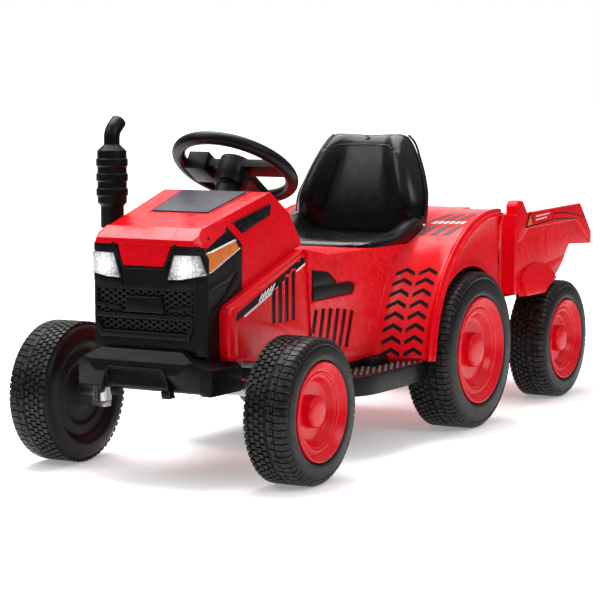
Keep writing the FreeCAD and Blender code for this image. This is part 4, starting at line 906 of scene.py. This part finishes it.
def body_parts():
    """Body side with six slanted slots, and the black trim: a wedge over a bar with a red lip."""
    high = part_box("main_body")[1]
    slots = []
    for k in range(6):
        top = Vector((-355 + 25 * k, 251 - 0.5 * k * k)) * MM
        foot = Vector((-366 + 23 * k, 212 - 12 * k + k * k)) * MM
        slots.append(stroke([foot, top], 12 * MM))
    cuts = [prism("left", outline, sign * (high.x - 9 * MM), sign * (high.x + 2 * MM))
            for _, sign in SIDES for outline in slots]
    skin("main_body", "red", 3.0 * MM, 4, cuts=cuts)
    backing = mm([(-374, 204), (-365, 259), (-222, 250), (-244, 164), (-300, 166)])
    pair("grate_backing_%s", backing, high.x - 8 * MM, high.x - 1.5 * MM, edge=0.4 * MM)
    trim_low, trim_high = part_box("side_trims")
    start = trim_low.y / MM + 1
    near, far = trim_high.x - 3 * MM, trim_high.x + 1.5 * MM
    wedge = mm([(start, 287), (start, 318), (-317, 311), (-290, 295), (-290, 287)])
    pair("side_trim_%s", wedge, near, far - 2 * MM, edge=0.8 * MM, stands_for="side_trims")
    bar = mm([(start, 267), (start, 290.5), (-240, 289), (-230, 285), (-228, 276), (-236, 269.5)])
    pair("trim_bar_%s", bar, near, far, edge=1.6 * MM, steps=4)
    lip = mm([(start, 264), (-234, 266.5), (-225, 275), (-227, 287)])
    pair("trim_rim_%s", stroke(lip, 3 * MM), near, far - 1.2 * MM, "red", 1.0 * MM)


FENDER_LOW, FENDER_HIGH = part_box("fender_left")
ARCH_RADIUS = 274 * MM


def arch_centre(radius):
    """The middle of the mudguard's arch, whose crest is the fender's top."""
    return Vector((0, FENDER_HIGH.y - 46 * MM, FENDER_HIGH.z - radius))


def fender_stations():
    """Points of the arch and of the wheel opening, paired, from the foot rest over the crest to the tail."""
    low, high = FENDER_LOW, FENDER_HIGH
    wheel_low, wheel_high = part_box("tyre_rear_left")
    wheel = (wheel_low + wheel_high) / 2
    centre = arch_centre(ARCH_RADIUS)
    first = math.pi - math.asin((low.z - centre.z) / ARCH_RADIUS)
    rear = high.y - 24 * MM
    last = math.acos((rear - centre.y) / ARCH_RADIUS)
    opening = (wheel_high.y - wheel_low.y) / 2 + 9 * MM
    made = []
    arc, tail = 48, 10
    for k in range(arc + tail + 1):
        turn = k / (arc + tail)
        sweep = math.pi * (1 - turn)
        gap = Vector((0, wheel.y + opening * math.cos(sweep), wheel.z + opening * math.sin(sweep)))
        if k <= arc:
            angle = first + (last - first) * k / arc
            outward = Vector((0, math.cos(angle), math.sin(angle)))
            point = centre + outward * ARCH_RADIUS
        else:
            drop = (k - arc) / tail
            top = centre.z + ARCH_RADIUS * math.sin(last)
            point = Vector((0, rear + 6 * MM * math.sin(drop * math.pi), blend(drop, top, low.z)))
            outward = Vector((0, 1, 0.15)).normalized()
        made.append((point, outward, gap, share(k, arc + 3, arc - 1)))
    return made


def fender_front(point, x):
    """How far forward the mudguard's face stands at x: it swings out towards the body, most at its foot."""
    low, high = FENDER_LOW, FENDER_HIGH
    if point.y > arch_centre(0).y:
        return 0
    height = math.sqrt(1 - share(point.z, 300 * MM, high.z))
    across = 1 - share(x, low.x, high.x - 18 * MM)
    flare = (1 - share(x, low.x - 2 * MM, low.x + 16 * MM)) ** 2
    return (55 * across + 16 * flare) * height * MM


def fender_parts():
    """Mudguard with a double rim round its outer edge and a side panel set in behind it."""
    low, outer = FENDER_LOW, FENDER_HIGH.x
    # (x, drop below the crown) of the rim's section, from the body to the side panel
    section = [(low.x + x * MM, 0) for x in (-2, 1, 4, 8, 12, 17, 28)]
    section += [(outer + x * MM, drop * MM) for x, drop in (
        (-34, 0), (-18, 0), (-12, 0), (-9.5, -2.0), (-7.0, -2.0), (-5.0, 0.6), (-4.5, 4.5), (-3.0, 5.5),
        (0.2, 5.0), (1.2, 6.5), (1.2, 9.5), (-0.5, 11), (-6, 13), (-7.5, 16),
    )]
    for side, sign in SIDES:
        bm = bmesh.new()
        rows = []
        for point, outward, gap, rimmed in fender_stations():
            line = []
            for x, drop in section:
                if x > outer - 30 * MM:
                    drop = blend(rimmed, max(drop, 0), drop)
                    x = blend(rimmed, min(x, outer - 8 * MM), x)
                place = point - outward * drop
                y = place.y - fender_front(point, x)
                line.append(bm.verts.new((sign * x, y, max(place.z, low.z))))
            last = Vector(line[-1].co)
            foot = Vector((sign * (outer - 5 * MM), gap.y, max(gap.z, low.z)))
            away = foot - last
            away.x = 0
            for t in (0.35, 0.7):
                mid = last.lerp(foot, t)
                mid.x = sign * (outer - 7.5 * MM)
                line.append(bm.verts.new(mid))
            rim = foot - (away.normalized() * 4 * MM if away.length > 6 * MM else Vector((0, 0, 0)))
            rim.x = sign * (outer - 7 * MM)
            line.append(bm.verts.new(rim))
            line.append(bm.verts.new(foot))
            line.append(bm.verts.new(foot + Vector((-sign * 12 * MM, 0, 0)) + away.normalized() * 1.5 * MM))
            rows.append(line)
        for one, two in zip(rows, rows[1:]):
            for k in range(len(one) - 1):
                bm.faces.new((one[k], one[k + 1], two[k + 1], two[k]))
        shape = piece("fender_%s_skin" % side, bm, "tractor", "red", ["fender_" + side], crease=40)
        wall = shape.modifiers.new("wall", "SOLIDIFY")
        wall.thickness = 2.4 * MM
        wall.offset = -1


def fender_prints():
    """Rows of chevrons up the front of each fender and slanted bars by its crest, lying on the crown."""
    low = FENDER_LOW
    radius = ARCH_RADIUS + 0.6 * MM
    centre = arch_centre(radius)

    def on_arch(across, along, lift=0.0):
        """The place on the crown, across the tractor and along the arch from the foot rest up."""
        angle = math.pi - along / radius
        way = Vector((0, math.cos(angle), math.sin(angle)))
        place = centre + way * (radius + lift)
        return place + Vector((across, -fender_front(place, abs(across)), 0))

    def print_on(bm, outline, sign, thick=0.5 * MM):
        """One outline of (across, along), in millimetres from the crown's lower inner corner."""
        flat = bmesh.new()
        flat.faces.new([flat.verts.new((low.x + u, foot + v, 0)) for u, v in mm(outline)])
        gridded(flat, 8 * MM, (0, 1))
        for vert in thickened(flat):
            vert.co.z = 1
        for vert in flat.verts:
            vert.co = on_arch(sign * vert.co.x, vert.co.y, thick if vert.co.z > 0.5 else -0.3 * MM)
        bmesh.ops.recalc_face_normals(flat, faces=flat.faces)
        joined(bm, flat)

    def printed(kind, finish, outlines):
        """The same prints on both mudguards."""
        for side, sign in SIDES:
            bm = bmesh.new()
            for outline in outlines:
                print_on(bm, outline, sign)
            piece(kind + "_" + side, bm, "tractor", finish)

    foot = radius * math.asin((low.z - centre.z) / radius)
    half, rise, bar = 12.5, 10, 7.5
    places = [(7 + 31 * column, 8 + 21.8 * row) for row in range(8) for column in range(2)]
    printed("chevrons", "dark_print", [
        [(u, v), (u + half, v + rise), (u + 2 * half, v), (u + 2 * half, v + bar), (u + half, v + rise + bar),
         (u, v + bar)] for u, v in places])
    places = [(2 + 20 * column, 262 + 54 * row) for row in range(2) for column in range(3)]
    printed("crest_bars", "grey_print", [
        [(u, v), (u + 10, v), (u + 23, v + 36), (u + 13, v + 36)] for u, v in places])
    places = [(8 + 9.5 * k, 302) for k in range(6)]
    printed("crest_ticks", "white_print", [
        [(u, v), (u + 6, v), (u + 9, v + 10), (u + 3, v + 10)] for u, v in places])


# ---------------------------------------------------------------------------------------------------
# seat


def bucket(rows):
    """Closed skin through rows of a half section: middle, its flat half width, crest, outer edge and foot."""
    loops = []
    for (y, z), inner, crest, edge, foot, (back_y, back_z) in rows:
        half = [
            (inner * 0.55, y, z), (inner, y - 1, z + 1),
            (inner + (crest[0] - inner) * 0.5, y + (crest[1] - y) * 0.8, z + (crest[2] - z) * 0.8),
            crest,
            tuple((a + b) / 2 + c for a, b, c in zip(crest, edge, (2, -2, 2))),
            edge, tuple((a * 0.5 + b * 0.5) for a, b in zip(edge, foot)), foot,
            (foot[0] * 0.55, back_y + (foot[1] - back_y) * 0.4, back_z + (foot[2] - back_z) * 0.4),
        ]
        loop = [(0, y, z)] + half + [(0, back_y, back_z)] + [(-px, py, pz) for px, py, pz in reversed(half)]
        loops.append([Vector(point) * MM for point in loop])
    return lofted(loops)


def seat_parts():
    """Blow-moulded seat: a cushion with side wings, and a back with a rolled rim and two bolsters."""
    back_rows = [
        ((24, 352), 78, (110, 20, 352), (124, 34, 352), (124, 58, 352), (66, 352)),
        ((24, 360), 78, (112, 16, 360), (128, 32, 360), (128, 60, 360), (66, 360)),
        ((25, 386), 75, (112, 10, 388), (133, 35, 386), (131, 66, 386), (68, 386)),
        ((29, 413), 70, (110, 8, 416), (135, 43, 413), (128, 74, 409), (70, 410)),
        ((36, 445), 60, (101, 15, 450), (125, 56, 448), (116, 80, 444), (74, 443)),
        ((47, 486), 49, (85, 31, 494), (107, 68, 490), (99, 86, 486), (80, 485)),
        ((57, 512), 42, (70, 50, 520), (90, 78, 519), (84, 89, 514), (85, 511)),
        ((68, 527), 38, (60, 65, 532), (78, 80, 530), (72, 89, 525), (88, 521)),
        ((76, 531), 34, (56, 75, 533), (70, 82, 531), (66, 88, 527), (88, 525)),
    ]
    cushion_rows = [
        ((-163, 340), 92, (108, -162, 341), (117, -160, 339), (118, -158, 333), (-158, 332)),
        ((-154, 350), 94, (114, -154, 351), (126, -151, 347), (127, -149, 334), (-148, 334)),
        ((-110, 353), 96, (119, -110, 355), (132, -108, 350), (132, -105, 337), (-105, 338)),
        ((-62, 353), 94, (120, -62, 359), (134, -60, 353), (134, -60, 338), (-60, 340)),
        ((-28, 353), 90, (120, -28, 371), (135, -26, 365), (134, -25, 338), (-25, 340)),
        ((2, 354), 86, (119, 0, 384), (135, 4, 379), (134, 6, 338), (5, 340)),
        ((28, 355), 84, (119, 24, 387), (134, 30, 382), (133, 32, 338), (30, 340)),
        ((48, 356), 80, (117, 48, 378), (131, 50, 372), (130, 52, 338), (50, 340)),
    ]
    back = piece("seat_back", bucket(back_rows), "tractor", "gloss", ["seat"], crease=180)
    cushion = piece("seat_cushion", bucket(cushion_rows), "tractor", "gloss", crease=180)
    for shape in (back, cushion):
        subdivided(shape)
    pad = [(47, 490), (58, 501), (82, 505), (93, 478), (106, 440), (112, 412), (102, 398), (74, 396),
           (66, 408), (58, 440)]
    for side, sign in SIDES:
        laid("bolster_" + side, [mm([(sign * x, z) for x, z in pad])], back, "front", "gloss",
             proud=3.4 * MM, depth=3 * MM, edge=1.4 * MM, cell=8 * MM)
        rim = [(edge[0] + 0.5, edge[1] + 1.5, edge[2] + 0.5) for _, _, _, edge, _, _ in back_rows[2:-1]]
        bar = [Vector((sign * x, y, z)) * MM for x, y, z in rim]
        tube("seat_rim_" + side, bar, 2.2 * MM, "tractor", "gloss")
        bolt = turned(mm([(0, 6.5), (2.4, 6.2), (3.4, 4), (3.0, 0), (0, 0)]), 32)
        bolt_low, bolt_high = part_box("seat_bolts")
        middle_y, middle_z = (bolt_low.y + bolt_high.y) / 2, (bolt_low.z + bolt_high.z) / 2
        at = Matrix.Translation((sign * (bolt_high.x + 2.0 * MM), middle_y, middle_z))
        if sign < 0:
            at = at @ Matrix.Rotation(math.pi, 4, "Z")
        piece("seat_bolt_head_" + side, bolt, "tractor", "steel", at=at)
    ridge = [(62, 506), (50, 512), (0, 514), (-50, 512), (-62, 506)]
    laid("back_top_crease", [stroke(mm(ridge), 3 * MM)], back, "front", "gloss",
         proud=0.8 * MM, edge=0.5 * MM)
    nub = turned(mm([(0, 4.5), (3, 4.0), (4.5, 2.2), (5, 0), (0, 0)]), 24)
    tilt = Matrix.Rotation(-2.2, 4, "X") @ Matrix.Rotation(-math.pi / 2, 4, "Y")
    piece("seat_nub", nub, "tractor", "gloss", at=Matrix.Translation((0, 66 * MM, 527 * MM)) @ tilt)


def tube(name, points, radius, body, finish):
    """A round bar through the points, eased between them."""
    curve = bpy.data.curves.new(name, "CURVE")
    curve.dimensions = "3D"
    curve.bevel_depth = radius
    curve.bevel_resolution = 3
    curve.resolution_u = 12
    curve.use_fill_caps = True
    line = curve.splines.new("BEZIER")
    line.bezier_points.add(len(points) - 1)
    for knot, place in zip(line.bezier_points, points):
        knot.co = place
        knot.handle_left_type = knot.handle_right_type = "AUTO"
    holder = in_scene(name, curve)
    bpy.context.view_layer.update()
    bm = bmesh.new()
    bm.from_mesh(holder.to_mesh())
    bpy.data.objects.remove(holder)
    bmesh.ops.remove_doubles(bm, verts=bm.verts, dist=0.01 * MM)
    return piece(name, bm, body, finish, crease=50)


# ---------------------------------------------------------------------------------------------------
# foot rests


def footrest_parts():
    """Steps with a rounded outer edge, rows of small grip studs, and a ribbed heel block."""
    low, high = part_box("footrest_left")  # the right one is its mirror image
    top = high.z - 14 * MM
    inner, outer = low.x, high.x
    corner = 34 * MM
    edge = [(inner, low.y), (outer - corner, low.y)]
    for k in range(1, 13):
        turn = math.pi / 2 * k / 12
        edge.append((outer - corner + corner * math.sin(turn), low.y + 66 * MM * (1 - math.cos(turn))))
    edge += [(outer, high.y - 130 * MM), (outer - 2 * MM, high.y - 60 * MM), (outer - 8 * MM, high.y),
             (inner, high.y)]
    for side, sign in SIDES:
        moulding("footrest_plate_" + side, [(sign * x, y) for x, y in edge], low.z, top, "top",
                 edge=3 * MM, stands_for=["footrest_" + side], steps=4)
        studs = bmesh.new()
        for row in range(22):
            y = low.y + (14 + 11.2 * row) * MM
            reach = blend(math.sqrt(share(y, low.y, low.y + 66 * MM)), outer - corner, outer) - 9 * MM
            for column in range(6):
                x = inner + (9 + 11 * column + 5.5 * (row % 2)) * MM
                on_heel = -206 * MM < y < -124 * MM and x < 156 * MM
                if x > reach or on_heel or y > high.y - 8 * MM:
                    continue
                rings = mm([(3.8, -0.5), (3.3, 0.9), (1.8, 1.7)])
                turns = [math.tau * k / 10 for k in range(10)]
                loops = [[(sign * x + r * math.cos(t), y + r * 0.6 * math.sin(t), top + h) for t in turns]
                         for r, h in rings]
                joined(studs, lofted(loops))
        piece("grip_studs_" + side, studs, "tractor", "stud")
    crown = high.z / MM
    block = mm([(-200, crown - 16), (-196, crown), (-134, crown), (-130, crown - 16)])
    pair("heel_block_%s", block, inner, 150 * MM, edge=2 * MM)
    for k in range(4):
        y = -194 + 17 * k
        rib = mm([(y, crown - 2), (y + 5, crown - 2), (y + 4.4, crown + 1.2), (y + 0.6, crown + 1.2)])
        pair("heel_rib_%s_" + str(k), rib, 133 * MM, 148 * MM, edge=0.5 * MM)


# ---------------------------------------------------------------------------------------------------
# trailer


def trailer_parts():
    """Tub with a proud rim band, ear posts, a reflector and a bulge over each wheel."""
    low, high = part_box("trailer_tub")
    x = high.x
    front, top = low.y / MM, high.z / MM
    ear = mm([(front - 10, 320), (front - 10, top + 5), (376, top + 5), (376, 376), (front + 7.5, 374.5),
              (front + 7.5, 320)])
    cuts = [prism("left", ear, sign * 140 * MM, sign * (x + 5 * MM)) for _, sign in SIDES]
    skin("trailer_tub", "red", 2.4 * MM, 4, cuts=cuts)
    band = [(front + 8, 344), (front + 8, 375), (640, 382), (698, 321), (698, 297), (620, 349)]
    post = [(324, 318), (324, 392), (331, 401), (352, 401), (378, 372), (378, 345), (352, 325)]
    side_wall = [(338, 258), (568, 282), (552, 266), (532, 251), (514, 242), (488, 239), (462, 229),
                 (442, 215), (352, 214), (344, 230)]
    bulge = [(340, 246), (348, 257), (366, 267), (390, 273), (423, 277), (455, 272), (486, 258), (500, 241),
             (462, 229), (442, 216), (352, 216)]

    def bulging(point):
        """Push the lower part outwards, so that the bulge looks up at its top."""
        px, y, z = point
        swell = share(z, 278 * MM, 228 * MM) ** 0.7 * 12 * MM
        return Vector((px + math.copysign(swell, px), y, z)) if abs(px) > x - 1 * MM else Vector(point)

    def plate(name, points, inside, outside, finish="red", edge=2.2, **more):
        """Plates on both walls of the tub, from inside to outside millimetres out from them."""
        pair(name, points, x + inside * MM, x + outside * MM, finish, edge * MM, body="trailer", **more)

    plate("tub_band_%s", mm(band), -4, 2.6, steps=4)
    plate("tub_post_%s", mm(post), -22, 3.2, edge=4, steps=4)
    plate("tub_side_%s", mm(side_wall), -5, 0.4, edge=1.5)
    plate("tub_bulge_%s", mm(bulge), -4, 1.0, edge=1.6, form=bulging)
    rim = stroke(mm([(366, 348), (383, 376), (400, 351), (366, 348)]), 3 * MM)
    plate("reflector_rim_%s", rim, 2, 4.4, "dark_print", 0.4)
    plate("trailer_reflector_%s", mm([(368, 350), (383, 373), (398, 352)]), 2, 4.0, "orange_print", 0.4,
          stands_for="trailer_reflectors")
    for k, height in enumerate((369, 362)):
        bar = mm([(412, height - 2), (480 - 14 * k, height + 1)])
        plate("reflector_bar_%d_%%s" % k, stroke(bar, 2.2 * MM), 2.2, 3.3, "white_print", 0.3)
    for k, line in enumerate(([(500, 368), (560, 367), (662, 352)], [(404, 350), (500, 357), (620, 352)])):
        plate("tub_line_%d_%%s" % k, stroke(mm(line), 2.2 * MM), 1.5, 3.1, "dark_print", 0.3)
    # folds of the side wall, where it draws in towards the floor
    for k, fold in enumerate(([(330, 344), (372, 262)], [(352, 342), (392, 280)], [(470, 344), (474, 282)])):
        plate("tub_fold_%d_%%s" % k, stroke(mm(fold), 5 * MM), -2, 0.9, edge=0.8)


# edge radius in millimetres of the CAD shapes that only have their edges rounded
PLAIN = {
    "black": {"steering_wheel": 1.6, "floor_pan": 1.5, "dashboard": 1.5,
              "power_switch": 0.8, "accelerator_pedal": 1.5, "exhaust_stack": 0.8,
              "control_module": 1.0, "gearboxes": 1.0, "charge_socket": 0.5, "trailer_drawbar": 1.5},
    "steel": {"rear_axle": 0.3, "trailer_axle": 0.3, "front_axle_beam": 0.8, "knuckle_left": 0.6,
              "knuckle_right": 0.6, "tie_rod": 0.6, "steering_column": 0.3, "hitch_pin": 0.5,
              "hitch_tongue": 0.8, "seat_bolts": 0.5},
    "battery": {"battery": 2.0},
    "red_button": {"horn_button": 0.6, "music_button": 0.6},
}


def plain_skins():
    """The rest: CAD shapes with rounded edges."""
    for finish, rows in PLAIN.items():
        for node, radius in rows.items():
            skin(node, finish, radius * MM)


# ---------------------------------------------------------------------------------------------------
# floor, light and camera


def axes_of(tree, kind):
    """The three axes of a texture coordinate."""
    return added(tree, "SeparateXYZ", Vector=coordinate(tree, kind))


def pale_floor():
    """Plain floor, lit from within round the tractor and behind it, and grey elsewhere."""
    ground = bmesh.new()
    reach = 60
    corners = ((-1, -1), (1, -1), (1, 1), (-1, 1))
    ground.faces.new([ground.verts.new((x * reach, y * reach, 0)) for x, y in corners])
    floor = in_scene("floor", mesh_of(ground, "floor"))
    made, tree, body = shader("pale_floor")
    axes = axes_of(tree, "Object")
    near = ramp(tree, distance(tree), 1.2, 2.0, 1, 0)
    behind = ramp(tree, axes["Y"], 0.0, 0.6)
    aside = ramp(tree, axes["X"], 0.3, 0.9, 1, 0)
    lit = combined(tree, "MAXIMUM", combined(tree, "MULTIPLY", behind, aside), near)
    white = mixed(tree, ramp(tree, noise(tree, 1.5), 0.3, 0.7), (0.90, 0.90, 0.90), (0.93, 0.93, 0.93))
    further = ramp(tree, axes["Y"], 1.0, 4.0, 0.28, 1.0)
    plug(tree, body, Base_Color=mixed(tree, lit, (0.16, 0.16, 0.16), white), Roughness=0.75,
         Specular_IOR_Level=0.2, Emission_Color=(1, 1, 1, 1),
         Emission_Strength=combined(tree, "MULTIPLY", lit, further))
    floor.data.materials.append(made)
    floor.data.shade_smooth()


def pale_sky():
    """Dim towards the horizon and brighter overhead, with a white screen standing behind the tractor."""
    world = bpy.data.worlds.new("studio")
    world.use_nodes = True
    sky = world.node_tree
    axes = axes_of(sky, "Generated")
    dim = ramp(sky, axes["Z"], 0.1, 0.75, 0.10, 0.72)
    behind = ramp(sky, axes["Y"], 0.45, 0.75, 0, 1)
    aside = ramp(sky, axes["X"], -0.15, 0.02, 1, 0)
    below = ramp(sky, axes["Z"], 0.45, 0.7, 1, 0)
    screen = combined(sky, "MULTIPLY", combined(sky, "MULTIPLY", behind, aside), below)
    plug(sky, sky.nodes["Background"], Color=(1, 1, 1, 1),
         Strength=combined(sky, "MAXIMUM", dim, screen))
    bpy.context.scene.world = world


def aimed(name, data, place, aim):
    """A lamp or camera at a place, turned to look at aim."""
    made = in_scene(name, data)
    made.location = place
    made.rotation_euler = (Vector(aim) - Vector(place)).to_track_quat("-Z", "Y").to_euler()
    return made


def lamps_and_camera():
    """Three soft lamps, and a long lens ahead and to the left of the tractor."""
    # name, place, what it points at, size and watts
    lamps = (
        ("overhead", (-0.8, 0.2, 2.8), (0, 0, 0.2), 2.3, 122),
        ("front_left", (-1.8, -2.2, 2.4), (0, -0.3, 0.25), 1.5, 22),
        ("right_side", (3.0, -1.0, 2.2), (0, 0, 0.3), 1.4, 26),
    )
    for name, place, aim, size, power in lamps:
        light = bpy.data.lights.new(name, "AREA")
        light.size = size
        light.energy = power
        aimed(name, light, place, aim)
    view = bpy.data.cameras.new("camera")
    view.lens = 128.7
    view.sensor_width = 36
    camera = aimed("camera", view, (1.878, -3.446, 0.626), (0.314, -0.729, 0.309))
    bpy.context.scene.camera = camera


wheels()
hood_parts()
mask_parts()
bumper_parts()
shell_parts()
body_parts()
fender_parts()
fender_prints()
seat_parts()
footrest_parts()
trailer_parts()
plain_skins()
pale_floor()
pale_sky()
lamps_and_camera()
bpy.context.scene.view_settings.view_transform = "Standard"
